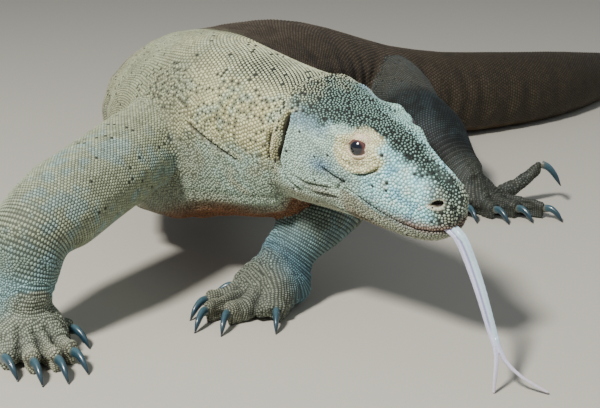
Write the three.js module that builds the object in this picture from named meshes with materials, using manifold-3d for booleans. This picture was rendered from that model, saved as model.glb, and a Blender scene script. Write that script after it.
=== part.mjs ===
// A life-size Komodo dragon (Varanus komodoensis), standing still with its body in a long curve: the
// forequarters raised on the forelegs, the hindquarters low, the head turned and the tongue on the floor.
// Millimetres, +Z up. The origin is at the middle of the bounding box, on the floor.
//
// The body is lofted from rings along its centre line. The head is a loft in a frame of its own, and
// each leg is a chain of lofts from joint to joint. Thin gaps part the neighbours, so that every named
// piece is a closed solid. It is laid out from the point of the floor in front of the animal and moved
// to its origin at the end.
import * as THREE from "three";
import Module from "manifold-3d";
import { mergeVertices } from "three/addons/utils/BufferGeometryUtils.js";

const wasm = await Module();
wasm.setup();

// ---------------------------------------------------------------- driving sizes
const HEAD_LENGTH = 172; // snout tip to ear opening
const GAP = 0.35; // between neighbouring solids
const FLOOR = 0;
const BODY_SIDES = 20; // facets round the neck, trunk and tail
const HEAD_SIDES = 24;
const LIMB_SIDES = 10;
const DIGIT_SIDES = 6;
const CLAW_SIDES = 5;

const HIDE = { colour: 0x8d958b, roughness: 0.75 };
const DARK_HIDE = { colour: 0x5a5852, roughness: 0.8 };
const CLAW = { colour: 0x3f5a66, roughness: 0.35 };
const EYE = { colour: 0x1a1512, roughness: 0.08 };
const TONGUE = { colour: 0xc9cbe0, roughness: 0.3 };

const animal = new THREE.Group();

// ---------------------------------------------------------------- small tools
const vec = (x, y, z) => new THREE.Vector3(x, y, z);
const radians = (degrees) => (degrees * Math.PI) / 180;
const mix = (a, b, t) => a + (b - a) * t;

// The direction of a compass heading (0 along +X, 90 along +Y) and a pitch above the floor.
function heading(yaw, pitch = 0) {
  const flat = Math.cos(radians(pitch));
  return vec(Math.cos(radians(yaw)) * flat, Math.sin(radians(yaw)) * flat, Math.sin(radians(pitch)));
}

// Rows of numbers, filled in with a smooth curve through them: `steps` new rows for each span.
function smooth(rows, steps) {
  const out = [];
  for (let i = 0; i < rows.length - 1; i++) {
    const before = rows[Math.max(0, i - 1)];
    const after = rows[Math.min(rows.length - 1, i + 2)];
    for (let k = 0; k < steps; k++) {
      const t = k / steps;
      out.push(rows[i].map((a, c) => {
        const b = rows[i + 1][c];
        const m0 = (b - before[c]) / 2;
        const m1 = (after[c] - a) / 2;
        return a + t * m0 + t * t * (3 * (b - a) - 2 * m0 - m1) + t ** 3 * (2 * (a - b) + m0 + m1);
      }));
    }
  }
  out.push(rows[rows.length - 1]);
  return out;
}

// One ring of a loft: a super-ellipse with its own height above and below the centre.
// `square` is 1 for an ellipse and smaller for a boxier section, `squareTop` the same for its upper half.
// `peak` narrows the upper half towards the spine. Nothing reaches below the floor.
function ring(shape) {
  const { centre, side, up, half, top, bottom, sides, peak = 0, floor = FLOOR } = shape;
  const { square = 1, squareTop = square } = shape;
  const points = [];
  for (let k = 0; k < sides; k++) {
    const a = (2 * Math.PI * k) / sides;
    const c = Math.cos(a);
    const s = Math.sin(a);
    const power = s > 0 ? squareTop : square;
    const narrowing = 1 - peak * Math.max(0, s) ** 1.5;
    const across = Math.sign(c) * Math.abs(c) ** power * half * narrowing;
    const along = Math.sign(s) * Math.abs(s) ** power * (s > 0 ? top : bottom);
    const p = centre.clone().addScaledVector(side, across).addScaledVector(up, along);
    if (floor !== null) p.z = Math.max(p.z, floor);
    points.push(p);
  }
  return points;
}

// A closed solid through a row of rings that all have the same number of points.
function loft(rings) {
  const sides = rings[0].length;
  const positions = [];
  const push = (...points) => points.forEach((p) => positions.push(p.x, p.y, p.z));
  for (let i = 0; i < rings.length - 1; i++)
    for (let k = 0; k < sides; k++) {
      const next = (k + 1) % sides;
      const [a, b, c, d] = [rings[i][k], rings[i][next], rings[i + 1][next], rings[i + 1][k]];
      push(a, b, c, a, c, d);
    }
  const middle = (points) => points.reduce((sum, p) => sum.add(p), vec(0, 0, 0)).divideScalar(sides);
  const first = rings[0];
  const last = rings[rings.length - 1];
  for (let k = 0; k < sides; k++) {
    const next = (k + 1) % sides;
    push(middle(first), first[next], first[k]);
    push(middle(last), last[k], last[next]);
  }
  const geometry = new THREE.BufferGeometry();
  geometry.setAttribute("position", new THREE.Float32BufferAttribute(positions, 3));
  return solidOf(geometry);
}

function solidOf(geometry) {
  const bare = geometry.index ? geometry.toNonIndexed() : geometry.clone();
  bare.deleteAttribute("normal");
  bare.deleteAttribute("uv");
  const merged = mergeVertices(bare, 1e-3);
  const solid = new wasm.Manifold(new wasm.Mesh({
    numProp: 3,
    vertProperties: merged.attributes.position.array,
    triVerts: new Uint32Array(merged.index.array),
  }));
  return solid.volume() < 0 ? flipped(merged) : solid;
}

function flipped(merged) {
  const index = merged.index.array;
  for (let i = 0; i < index.length; i += 3) [index[i + 1], index[i + 2]] = [index[i + 2], index[i + 1]];
  return new wasm.Manifold(new wasm.Mesh({
    numProp: 3,
    vertProperties: merged.attributes.position.array,
    triVerts: new Uint32Array(index),
  }));
}

const union = (...solids) => solids.reduce((all, one) => all.add(one));

// The largest body of a solid, so that no sliver stays beside it.
const largest = (solid) => solid.decompose().reduce((a, b) => (b.volume() > a.volume() ? b : a));

// A big block on the side of a plane that its normal points to, `lift` mm off the plane.
function halfSpace(point, normal, lift) {
  const size = 4000;
  const block = new THREE.BoxGeometry(size, size, size);
  block.translate(0, 0, size / 2 + lift);
  const turn = new THREE.Quaternion().setFromUnitVectors(vec(0, 0, 1), normal.clone().normalize());
  block.applyQuaternion(turn);
  block.translate(point.x, point.y, point.z);
  return solidOf(block);
}

// Two overlapping solids joined, then parted by a thin gap on a plane: [behind it, in front of it].
function parted(near, far, point, normal) {
  const both = near.add(far);
  const front = both.intersect(halfSpace(point, normal, GAP / 2));
  const back = both.intersect(halfSpace(point, normal.clone().negate(), GAP / 2));
  return [largest(back), largest(front)];
}

function addNode(name, solid, look) {
  const mesh = solid.getMesh();
  const stride = mesh.numProp;
  const positions = new Float32Array(mesh.numVert * 3);
  for (let i = 0; i < mesh.numVert; i++)
    positions.set(mesh.vertProperties.subarray(i * stride, i * stride + 3), i * 3);
  const geometry = new THREE.BufferGeometry();
  geometry.setAttribute("position", new THREE.BufferAttribute(positions, 3));
  geometry.setIndex(new THREE.BufferAttribute(mesh.triVerts, 1));
  geometry.computeVertexNormals();
  const { colour, roughness } = look;
  const node = new THREE.Mesh(geometry, new THREE.MeshStandardMaterial({ color: colour, roughness }));
  node.name = name;
  animal.add(node);
}

// ---------------------------------------------------------------- head frame
// The head looks along its local +X, with +Y to its left and +Z up, and its origin at the snout tip.
const HEAD_YAW = -47.5;
const HEAD_PITCH = -14.2;
const HEAD_ROLL = 11.2;
const SNOUT_TIP = vec(137, 938, 151);
const headTurn = new THREE.Quaternion()
  .setFromAxisAngle(vec(0, 0, 1), radians(HEAD_YAW))
  .multiply(new THREE.Quaternion().setFromAxisAngle(vec(0, 1, 0), radians(-HEAD_PITCH)))
  .multiply(new THREE.Quaternion().setFromAxisAngle(vec(1, 0, 0), radians(HEAD_ROLL)));
const inHead = (x, y, z) => vec(x, y, z).applyQuaternion(headTurn).add(SNOUT_TIP);
const HEAD_SIDE = vec(0, 1, 0).applyQuaternion(headTurn);
const HEAD_UP = vec(0, 0, 1).applyQuaternion(headTurn);

// Head sections: distance behind the snout tip, half width, level of the widest place, level of the crown,
// level of the chin, squareness of the lower and of the upper half. Levels are along the head's own Z.
const HEAD_SECTIONS = [
  [-1, 9, -6, 4, -22, 0.8, 0.8],
  [4, 16, -8, 10.5, -32, 0.74, 0.78],
  [12, 21.5, -11, 15, -39, 0.7, 0.74],
  [26, 25.5, -13, 19, -45.5, 0.68, 0.72],
  [44, 28, -14, 24.5, -51, 0.68, 0.72],
  [62, 30.5, -13, 31.5, -55, 0.7, 0.66],
  [78, 34, -11, 36, -58, 0.72, 0.6],
  [96, 39, -9, 38.5, -60.5, 0.76, 0.6],
  [114, 44, -8, 40, -64, 0.8, 0.66],
  [136, 51, -8, 41.5, -69, 0.84, 0.76],
  [156, 56, -8, 43.5, -75, 0.88, 0.82],
  [174, 58, -8, 45.5, -81, 0.9, 0.86],
  [188, 58, -8, 47.5, -85, 0.92, 0.88],
];
const headRings = (grow = 0) =>
  HEAD_SECTIONS.map(([back, half, middle, crown, chin, square, squareTop]) =>
    ring({
      centre: inHead(-back, 0, middle), side: HEAD_SIDE, up: HEAD_UP,
      half: half + grow, top: crown - middle + grow, bottom: middle - chin + grow,
      square, squareTop, sides: HEAD_SIDES, floor: null,
    }));

// ---------------------------------------------------------------- centre line of neck, trunk and tail
// Distance from the ear, heading of the centre line tailwards, height of the centre, half width,
// height of back, depth of belly, narrowing towards the spine.
const BODY_STATIONS = [
  [18, 132, 191, 59, 50, 93, 0.05],
  [55, 131, 189, 62.5, 56, 103, 0.06],
  [95, 129, 186, 69, 65, 105, 0.08],
  [135, 125, 181, 76, 76, 106, 0.12],
  [175, 119, 177, 86, 84, 116, 0.21],
  [240, 106, 168, 105, 89, 122, 0.3],
  [340, 90, 156, 112, 86, 112, 0.26],
  [480, 72, 144, 116, 80, 100, 0.18],
  [620, 56, 130, 113, 87, 98, 0.14],
  [740, 43, 112, 94, 80, 92, 0.12],
  [860, 32, 89, 71, 66, 72, 0.08],
  [970, 29, 69, 64.5, 65, 65, 0.06],
  [1090, 33, 59, 59, 65, 59, 0.07],
  [1210, 44, 51, 52, 62, 53, 0.09],
  [1340, 53, 44, 42.5, 52, 46, 0.1],
  [1470, 46, 36, 31.5, 41, 38, 0.1],
  [1600, 29, 29, 25, 33, 31, 0.1],
  [1735, 11, 22, 19.5, 26, 24, 0.1],
  [1870, -6, 16, 14, 19, 18, 0.1],
  [2000, -21, 11, 9, 12, 13, 0.1],
  [2130, -32, 5, 3.5, 5, 6, 0.1],
];
const BODY_STEPS = 2; // rings for each span of the table

function walkBody(start) {
  const rows = smooth(BODY_STATIONS, BODY_STEPS);
  const place = start.clone();
  let before = rows[0];
  return rows.map((row) => {
    const [along, yaw, height, half, top, bottom, peak] = row;
    place.addScaledVector(heading(mix(before[1], yaw, 0.5)), along - before[0]);
    before = row;
    return { along, yaw, centre: vec(place.x, place.y, height), half, top, bottom, peak };
  });
}
const EAR_LEVEL = inHead(-HEAD_LENGTH, 0, 0);
const NECK_START = BODY_STATIONS[0];
const EAR_ON_FLOOR = vec(EAR_LEVEL.x, EAR_LEVEL.y, 0);
const bodyLine = walkBody(EAR_ON_FLOOR.addScaledVector(heading(NECK_START[1]), NECK_START[0]));

// The neck's first rings lean with the head, and level out by this distance.
const LEVEL_BY = 150;
// The chest between the fore legs is boxier below than the rest of the body.
const CHEST_AT = 225;
const CHEST_REACH = 120;
function bodyRing(station, grow = 0) {
  const { along, yaw, centre, half, top, bottom, peak } = station;
  const lean = Math.max(0, 1 - along / LEVEL_BY);
  const flatSide = heading(yaw - 90);
  const side = flatSide.clone().lerp(HEAD_SIDE, lean).normalize();
  const up = vec(0, 0, 1).lerp(HEAD_UP, lean).normalize();
  const chest = Math.max(0, 1 - Math.abs(along - CHEST_AT) / CHEST_REACH);
  return ring({
    centre, side, up, half: half + grow, top: top + grow, bottom: bottom + grow,
    square: 0.78 - 0.26 * chest, squareTop: 0.92, peak, sides: BODY_SIDES,
  });
}

// The body between two distances along it, as one solid.
function bodyLength(from, to, grow = 0) {
  const inside = bodyLine.filter(({ along }) => along > from + 1 && along < to - 1);
  const ends = [stationAt(from), stationAt(to)];
  return loft([ends[0], ...inside, ends[1]].map((station) => bodyRing(station, grow)));
}

function stationAt(along) {
  const i = Math.min(bodyLine.length - 2, Math.max(0, bodyLine.findIndex((s) => s.along > along) - 1));
  const [a, b] = [bodyLine[i], bodyLine[i + 1]];
  const t = Math.min(1, Math.max(0, (along - a.along) / (b.along - a.along)));
  const out = { along, centre: a.centre.clone().lerp(b.centre, t) };
  for (const key of ["yaw", "half", "top", "bottom", "peak"]) out[key] = mix(a[key], b[key], t);
  return out;
}

const BODY_CUTS = [
  ["neck_front", 18, 95],
  ["neck_rear", 95, 175],
  ["trunk_front", 175, 340],
  ["trunk_middle", 340, 620],
  ["trunk_rear", 620, 860],
  ["tail_1", 860, 1090],
  ["tail_2", 1090, 1340],
  ["tail_3", 1340, 1600],
  ["tail_4", 1600, 1870],
  ["tail_5", 1870, 2130],
];
for (const [name, from, to] of BODY_CUTS)
  addNode(name, bodyLength(from + GAP / 2, to - GAP / 2), name.startsWith("tail") ? DARK_HIDE : HIDE);
const bodyGrown = bodyLength(BODY_CUTS[0][1], 1300, GAP); // what the legs are cut to fit

// ---------------------------------------------------------------- tongue
// It leaves the closed mouth at the front, hangs to the floor and forks into two tines.
// Rows: centre x, y, z, half width, half thickness.
const TONGUE_STEM = [
  [127, 944, 133, 5.2, 1.9],
  [136, 934, 128, 5.4, 2],
  [146, 926, 106, 5, 2],
  [155, 915, 80, 4.4, 1.9],
  [162, 906, 56, 3.8, 1.7],
  [167, 900, 40, 3.4, 1.4],
];
const TONGUE_TINES = [
  [[165, 902, 46, 1.9, 1.3], [167, 897, 30, 1.5, 1.2], [166, 893, 15, 1.1, 1], [165, 890, 1.4, 0.8, 0.8]],
  [[166.5, 900.5, 46, 1.9, 1.3], [174, 897, 28, 1.5, 1.2], [189, 892, 14, 1.1, 1], [210, 887, 3, 0.8, 0.8]],
];
const TONGUE_ACROSS = heading(-25);
function tongueStrand(rows, grow, sides) {
  const points = smooth(rows, 2);
  return loft(points.map(([x, y, z, half, thick], i) => {
    const before = points[Math.max(0, i - 1)];
    const after = points[Math.min(points.length - 1, i + 1)];
    const along = vec(after[0] - before[0], after[1] - before[1], after[2] - before[2]).normalize();
    const up = vec(0, 0, 0).crossVectors(along, TONGUE_ACROSS).normalize();
    const side = vec(0, 0, 0).crossVectors(up, along).normalize();
    return ring({
      centre: vec(x, y, z), side, up,
      half: half + grow, top: thick + grow, bottom: thick + grow, sides,
    });
  }));
}
const tongueSolid = (grow) =>
  union(tongueStrand(TONGUE_STEM, grow, 6), ...TONGUE_TINES.map((rows) => tongueStrand(rows, grow, 4)));
addNode("tongue", tongueSolid(0), TONGUE);

// ---------------------------------------------------------------- head, jaw and eyes
// Side view of the space under the lip line, which drops steeply behind the mouth corner.
const LIP_LINE = [
  [12, -18.5], [-6, -21.5], [-24, -26], [-44, -28], [-62, -27], [-78, -23.5], [-92, -18], [-101, -16.5],
];
const JAW_HINGE_DROP = [-118, -80];
function jawSpace(lift) {
  const outline = new THREE.Shape();
  const lips = LIP_LINE.map(([x, z]) => new THREE.Vector2(x, z + lift));
  outline.moveTo(lips[0].x, lips[0].y);
  outline.splineThru(lips.slice(1));
  outline.lineTo(JAW_HINGE_DROP[0] - lift, JAW_HINGE_DROP[1]);
  outline.lineTo(LIP_LINE[0][0], JAW_HINGE_DROP[1]);
  const width = 160;
  const block = new THREE.ExtrudeGeometry(outline, { depth: width, bevelEnabled: false, curveSegments: 2 });
  block.translate(0, 0, -width / 2);
  block.rotateX(Math.PI / 2);
  block.applyQuaternion(headTurn);
  block.translate(SNOUT_TIP.x, SNOUT_TIP.y, SNOUT_TIP.z);
  return solidOf(block);
}

// An egg-shaped solid in the head's frame: place and radii along the head's own axes.
function egg(place, radii, across = 10, around = 6) {
  const sphere = new THREE.SphereGeometry(1, across, around);
  sphere.scale(...radii);
  sphere.translate(...place);
  sphere.applyQuaternion(headTurn);
  sphere.translate(SNOUT_TIP.x, SNOUT_TIP.y, SNOUT_TIP.z);
  return solidOf(sphere);
}

const EYE_RADIUS = 9;
const EYE_PLACE = [-97, 27.5, 25];
const NOSTRIL_PLACE = [-14, 21.5, 3];
const NOSTRIL_RADII = [4.5, 5, 2.6];
const EAR_PLACE = [-177, 57, 4];
const EAR_RADII = [4, 7, 15];
// Brow ridge rows: behind the snout tip, out from the middle, height, half width, half thickness.
const BROW_ROWS = [
  [72, 27, 24, 4, 3],
  [85, 30, 28, 6, 5],
  [99, 32.5, 31, 7, 6],
  [113, 34, 32, 6.5, 6],
  [127, 35, 31, 4, 3],
];

const brow = (sign) =>
  loft(BROW_ROWS.map(([back, out, height, half, thick]) =>
    ring({
      centre: inHead(-back, sign * out, height), side: HEAD_SIDE, up: HEAD_UP,
      half, top: thick, bottom: thick, sides: DIGIT_SIDES, floor: null,
    })));

const neckFace = bodyRing(stationAt(BODY_CUTS[0][1]));
const neckFaceSide = neckFace[0].clone().sub(neckFace[BODY_SIDES / 2]);
const neckFaceUp = neckFace[BODY_SIDES / 4].clone().sub(neckFace[(3 * BODY_SIDES) / 4]);
const headward = vec(0, 0, 0).crossVectors(neckFaceSide, neckFaceUp).normalize();
const aheadOfNeck = halfSpace(neckFace[0], headward, GAP / 2);

const wholeHead = union(loft(headRings()), brow(1), brow(-1)).intersect(aheadOfNeck);
let skull = wholeHead.subtract(jawSpace(GAP));
for (const [name, sign] of [["eye_left", 1], ["eye_right", -1]]) {
  const place = ([x, y, z]) => [x, sign * y, z];
  skull = skull
    .subtract(egg(place(EYE_PLACE), [EYE_RADIUS + GAP, EYE_RADIUS + GAP, EYE_RADIUS + GAP]))
    .subtract(egg(place(NOSTRIL_PLACE), NOSTRIL_RADII, 6, 5))
    .subtract(egg(place(EAR_PLACE), EAR_RADII, 6, 5));
  addNode(name, egg(place(EYE_PLACE), [EYE_RADIUS, EYE_RADIUS, EYE_RADIUS]), EYE);
}
const tongueRoom = tongueSolid(GAP);
addNode("head", largest(skull.subtract(tongueRoom)), HIDE);
addNode("lower_jaw", largest(wholeHead.intersect(jawSpace(0)).subtract(tongueRoom)), HIDE);

// ---------------------------------------------------------------- legs
// A limb's flesh from joint to joint: rows of [share of the way, half width, half thickness].
function limbLength(from, to, rows) {
  const axis = to.clone().sub(from);
  const side = vec(0, 0, 0).crossVectors(axis, vec(0, 0.2, 1)).normalize();
  const up = vec(0, 0, 0).crossVectors(side, axis).normalize();
  return loft(rows.map(([share, half, thick]) =>
    ring({
      centre: from.clone().addScaledVector(axis, share), side, up,
      half, top: thick, bottom: thick, sides: LIMB_SIDES,
    })));
}

const ARM_FLESH = {
  upper: [[-0.35, 45, 44], [0.05, 46, 45], [0.42, 47, 44], [0.74, 47, 45], [0.97, 41, 38], [1.15, 29, 27]],
  lower: [[-0.3, 27, 25], [-0.05, 39, 37], [0.35, 37, 34], [0.75, 31, 28], [1, 27, 23], [1.15, 15, 13]],
};
const LEG_FLESH = {
  upper: [[-0.3, 42, 40], [0.05, 50, 48], [0.5, 49, 46], [0.95, 43, 40], [1.15, 28, 26]],
  lower: [[-0.25, 28, 28], [-0.05, 44, 42], [0.4, 47, 44], [0.8, 32, 29], [1, 27, 24], [1.15, 15, 14]],
};

// Palm or sole: share of its length, share of its half width, height of its back.
const palmRows = (wristHeight) => [
  [-0.45, 0.72, wristHeight + 16],
  [-0.1, 0.86, wristHeight + 15],
  [0.2, 0.96, wristHeight + 5],
  [0.5, 0.98, 42],
  [0.8, 0.8, 28],
  [1.05, 0.5, 17],
];

// A paw in a frame at the wrist: forward is `yaw`, and the first toe is on the `inner` side
// (1 for the left, -1 for the right).
// Toes: [tip forward, tip towards the inner side, turn of the claw, lift off the floor].
const TOE_HEIGHT = 21;
const TOE_HALF = 8;
// Toe rows: share of the way from the palm to the tip, and shares of that half width and height.
const TOE_ROWS = [
  [0, 1.2, 1.35],
  [0.45, 1.05, 1.2],
  [0.82, 1, 1.1],
  [1, 0.68, 0.95],
];
function paw({ wrist, yaw, inner, palmLength, palmHalf, toes }) {
  const forward = heading(yaw);
  const innerSide = heading(yaw + 90 * inner);
  const place = (ahead, inwards, height) =>
    vec(wrist.x, wrist.y, height).addScaledVector(forward, ahead).addScaledVector(innerSide, inwards);
  const palm = loft(palmRows(wrist.z).map(([share, wide, height]) =>
    ring({
      centre: place(share * palmLength, 0, height / 2), side: heading(yaw - 90), up: vec(0, 0, 1),
      half: wide * palmHalf, top: height / 2, bottom: height / 2 + 2, square: 0.8, sides: 10,
    })));
  const claws = [];
  const digits = toes.map(([ahead, inwards, clawTurn, lift = 0]) => {
    const start = place(0.6 * ahead - 14, 0.55 * inwards, 0);
    const tip = place(ahead, inwards, 0);
    const direction = tip.clone().sub(start).normalize();
    const side = vec(direction.y, -direction.x, 0);
    claws.push(clawAt(tip, direction, heading(yaw + clawTurn), lift));
    return loft(TOE_ROWS.map(([share, wide, high]) => {
      const height = high * TOE_HEIGHT;
      const raised = lift * share ** 1.5;
      return ring({
        centre: start.clone().lerp(tip, share).setZ(raised + height / 2), side, up: vec(0, 0, 1),
        half: wide * TOE_HALF, top: height / 2, bottom: height / 2 + (lift ? 0 : 2),
        square: 0.85, sides: DIGIT_SIDES,
      });
    }));
  });
  return { flesh: union(palm, ...digits), claws };
}

// A claw: it starts flat against the toe tip, turns to its own heading and curves down to the floor.
const CLAW_ROOT_HEIGHT = 13;
const CLAW_TIP_HEIGHT = 0.6;
const CLAW_REACH = 26;
const CLAW_ARCH = 4.5;
const CLAW_HALF = 4.2;
const CLAW_STEPS = 3;
function clawAt(tip, toeDirection, clawDirection, lift) {
  const rings = [];
  for (let i = 0; i <= CLAW_STEPS; i++) {
    const t = i / CLAW_STEPS;
    const flat = i === 0 ? toeDirection : clawDirection;
    const centre = tip.clone().addScaledVector(toeDirection, GAP);
    centre.addScaledVector(clawDirection, t * CLAW_REACH);
    const arch = mix(CLAW_ROOT_HEIGHT, CLAW_TIP_HEIGHT, t ** 1.4) + CLAW_ARCH * Math.sin(Math.PI * t);
    centre.z = lift * (1 - 0.35 * t) + arch;
    const pitch = i === 0 ? 0 : radians(mix(15, -62, t));
    const up = vec(0, 0, Math.cos(pitch)).addScaledVector(flat, -Math.sin(pitch));
    const girth = CLAW_HALF * mix(1, 0.2, t ** 1.7);
    rings.push(ring({
      centre, side: vec(flat.y, -flat.x, 0), up, half: girth * 0.9, top: girth * 1.35, bottom: girth * 1.1,
      sides: CLAW_SIDES,
    }));
  }
  return loft(rings);
}

function addLeg({ side, names, hip, knee, flesh, look, foot }) {
  const ankle = foot.wrist;
  const upper = limbLength(hip, knee, flesh.upper);
  const lower = limbLength(knee, ankle, flesh.lower);
  const { flesh: pawFlesh, claws } = paw(foot);
  const upwards = hip.clone().sub(knee).normalize();
  const downwards = ankle.clone().sub(knee).normalize();
  const [first, rest] = parted(upper, lower, knee, downwards.clone().sub(upwards).normalize());
  const ankleFacing = downwards.clone().add(heading(foot.yaw)).normalize();
  const [second, third] = parted(rest, pawFlesh, ankle, ankleFacing);
  const [upperName, lowerName, pawName] = names;
  addNode(`${upperName}_${side}`, largest(first.subtract(bodyGrown)), look);
  addNode(`${lowerName}_${side}`, largest(second.subtract(bodyGrown)), look);
  addNode(`${pawName}_${side}`, third, look);
  claws.forEach((claw, i) => {
    addNode(`claw_${pawName}_${side}_${i + 1}`, claw, CLAW);
  });
}

const ARM_NAMES = ["upper_arm", "forearm", "hand"];
const LEG_NAMES = ["thigh", "shank", "foot"];

addLeg({
  side: "right", names: ARM_NAMES, flesh: ARM_FLESH, look: HIDE,
  hip: vec(-172, 1130, 147), knee: vec(-246, 1001, 113),
  foot: {
    wrist: vec(-254, 983, 42), yaw: 300, inner: 1, palmLength: 50, palmHalf: 35,
    toes: [[6, 41, 20], [57, 25, 11], [66, 8, 1], [60, -12, -1], [39, -32, 9]],
  },
});
addLeg({
  side: "left", names: ARM_NAMES, flesh: ARM_FLESH, look: HIDE,
  hip: vec(-30, 1200, 138), knee: vec(38, 1135, 100),
  foot: {
    wrist: vec(-22, 1092, 48), yaw: 220, inner: -1, palmLength: 56, palmHalf: 39,
    toes: [[22, 40, -28], [68, 29, 15], [85, 7, 30], [73, -12, 40], [33, -38, 50]],
  },
});
addLeg({
  side: "left", names: LEG_NAMES, flesh: LEG_FLESH, look: DARK_HIDE,
  hip: vec(140, 1725, 102), knee: vec(160, 1560, 92),
  foot: {
    wrist: vec(213, 1428, 45), yaw: -25, inner: -1, palmLength: 50, palmHalf: 33,
    toes: [[16, 42, -42], [50, 35, -30], [74, 19, -24], [105, 4, -14], [84, -58, 8, 40]],
  },
});
addLeg({
  side: "right", names: LEG_NAMES, flesh: LEG_FLESH, look: DARK_HIDE,
  hip: vec(85, 1825, 102), knee: vec(-58, 1878, 96),
  foot: {
    wrist: vec(-98, 1775, 45), yaw: 188, inner: 1, palmLength: 50, palmHalf: 33,
    toes: [[31, 38, 32], [58, 28, 14], [80, 12, 6], [98, -6, 0], [62, -46, -20]],
  },
});

// The middle of the whole bounding box goes over the origin, with the floor at 0.
const reach = new THREE.Box3().setFromObject(animal);
const middle = reach.getCenter(vec(0, 0, 0));
animal.position.set(-middle.x, -middle.y, -FLOOR);

export default animal;
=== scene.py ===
import math

import bmesh
import bpy
import numpy as np
from mathutils import Matrix, Vector, noise
from mathutils.bvhtree import BVHTree
from mathutils.kdtree import KDTree


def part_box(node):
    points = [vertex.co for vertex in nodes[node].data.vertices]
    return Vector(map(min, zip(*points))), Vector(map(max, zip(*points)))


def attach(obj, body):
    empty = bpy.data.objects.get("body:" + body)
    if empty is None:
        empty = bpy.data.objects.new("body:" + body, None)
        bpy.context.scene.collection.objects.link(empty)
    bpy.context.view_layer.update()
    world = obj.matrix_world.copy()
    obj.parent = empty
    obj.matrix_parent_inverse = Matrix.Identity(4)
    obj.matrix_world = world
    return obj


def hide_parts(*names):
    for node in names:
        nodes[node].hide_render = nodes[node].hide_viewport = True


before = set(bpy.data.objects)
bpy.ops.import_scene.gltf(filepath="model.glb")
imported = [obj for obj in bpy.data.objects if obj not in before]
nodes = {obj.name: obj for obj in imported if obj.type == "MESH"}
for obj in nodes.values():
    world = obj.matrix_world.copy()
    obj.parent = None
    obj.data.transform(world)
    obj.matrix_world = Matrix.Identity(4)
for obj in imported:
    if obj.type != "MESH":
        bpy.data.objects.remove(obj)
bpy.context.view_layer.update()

# ---------------------------------------------------------------- body form
# The core under the hide: head, neck, trunk, tail and legs fused into one closed shape with no seams.
# A model maker fuses the carved blocks and fairs the joins; here they are swelled, joined and smoothed.
MM = 0.001
FUSE_SWELL = 0.6 * MM
FUSE_CELL = 3.2 * MM
flesh_names = sorted(n for n in nodes if not n.startswith(("claw", "eye", "tongue")))
fused_names = flesh_names + ["eye_left", "eye_right"]


def points_of(mesh):
    flat = np.empty(len(mesh.vertices) * 3)
    mesh.vertices.foreach_get("co", flat)
    return flat.reshape(-1, 3)


def set_points(mesh, points):
    mesh.vertices.foreach_set("co", points.ravel())
    mesh.update()


# A solid with its seams closed, and swelled a little where that is asked for.
def welded(name, swell=0.0):
    piece = bmesh.new()
    piece.from_mesh(nodes[name].data)
    bmesh.ops.remove_doubles(piece, verts=piece.verts, dist=0.01 * MM)
    piece.normal_update()
    for v in piece.verts:
        v.co += v.normal * swell
    return piece


def mesh_of(name, piece):
    mesh = bpy.data.meshes.new(name)
    piece.to_mesh(mesh)
    piece.free()
    return mesh


def stood(name, mesh):
    block = bpy.data.objects.new(name, mesh)
    bpy.context.scene.collection.objects.link(block)
    return block


# The mesh that a block's modifiers leave. The block itself goes.
def worked(block):
    graph = bpy.context.evaluated_depsgraph_get()
    mesh = bpy.data.meshes.new_from_object(block.evaluated_get(graph))
    bpy.data.objects.remove(block)
    return mesh


# Everything in a mesh cast again as one skin of small even cells.
def recast(mesh, cell):
    block = stood("block", mesh)
    fuse = block.modifiers.new("fuse", "REMESH")
    fuse.mode = "VOXEL"
    fuse.voxel_size = cell
    return worked(block)


core = bmesh.new()
for name in fused_names:
    carried = mesh_of("carried", welded(name, FUSE_SWELL))
    core.from_mesh(carried)
    bpy.data.meshes.remove(carried)
fused = recast(mesh_of("core", core), FUSE_CELL)

# Which solid each point of the hide lies nearest to.
face_owner = []
all_points = []
all_faces = []
for name in flesh_names:
    piece = welded(name)
    start = len(all_points)
    all_points += [v.co.copy() for v in piece.verts]
    all_faces += [[start + v.index for v in f.verts] for f in piece.faces]
    face_owner += [name] * len(piece.faces)
    piece.free()
solid_tree = BVHTree.FromPolygons(all_points, all_faces)
owner_number = {name: i for i, name in enumerate(flesh_names)}
face_number = np.array([owner_number[name] for name in face_owner])


def owners(points):
    return face_number[[solid_tree.find_nearest(Vector(p))[2] for p in points]]


def owned_by(numbers, *starts):
    wanted = [i for name, i in owner_number.items() if name.startswith(starts)]
    return np.isin(numbers, wanted)


def step(x, low, high):
    t = np.clip((x - low) / (high - low), 0, 1)
    return t * t * (3 - 2 * t)


def bell(x, middle, width):
    return np.exp(-(((x - middle) / width) ** 2))


def neighbour_mean(points, edges, count):
    total = np.empty_like(points)
    for axis in range(points.shape[1]):
        total[:, axis] = np.bincount(edges[:, 0], points[edges[:, 1], axis], len(points))
        total[:, axis] += np.bincount(edges[:, 1], points[edges[:, 0], axis], len(points))
    return total / count[:, None]


def edges_of(mesh):
    flat = np.empty(len(mesh.edges) * 2, np.int32)
    mesh.edges.foreach_get("vertices", flat)
    edges = flat.reshape(-1, 2)
    count = np.bincount(edges.ravel(), minlength=len(mesh.vertices)).astype(float)
    return edges, np.maximum(count, 1)


# Each pass pulls every point to its neighbours' mean and pushes it back a little further, so
# that facets and joins are faired away and the form keeps its girth.
PULL = 0.5
PUSH = 0.52


def faired(mesh, passes):
    points = points_of(mesh)
    edges, count = edges_of(mesh)
    passes = neighbour_mean(passes[:, None].astype(float), edges, count)[:, 0]
    for i in range(int(passes.max()) + 1):
        share = np.clip(passes - i, 0, 1)[:, None]
        points += PULL * share * (neighbour_mean(points, edges, count) - points)
        points -= PUSH * share * (neighbour_mean(points, edges, count) - points)
    return points


# Limbs are rounded: every flat is smoothed away, and what that takes off the girth is given back.
# Where it ends, the rounding dies out over a few points.
END_PASSES = 8


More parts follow.
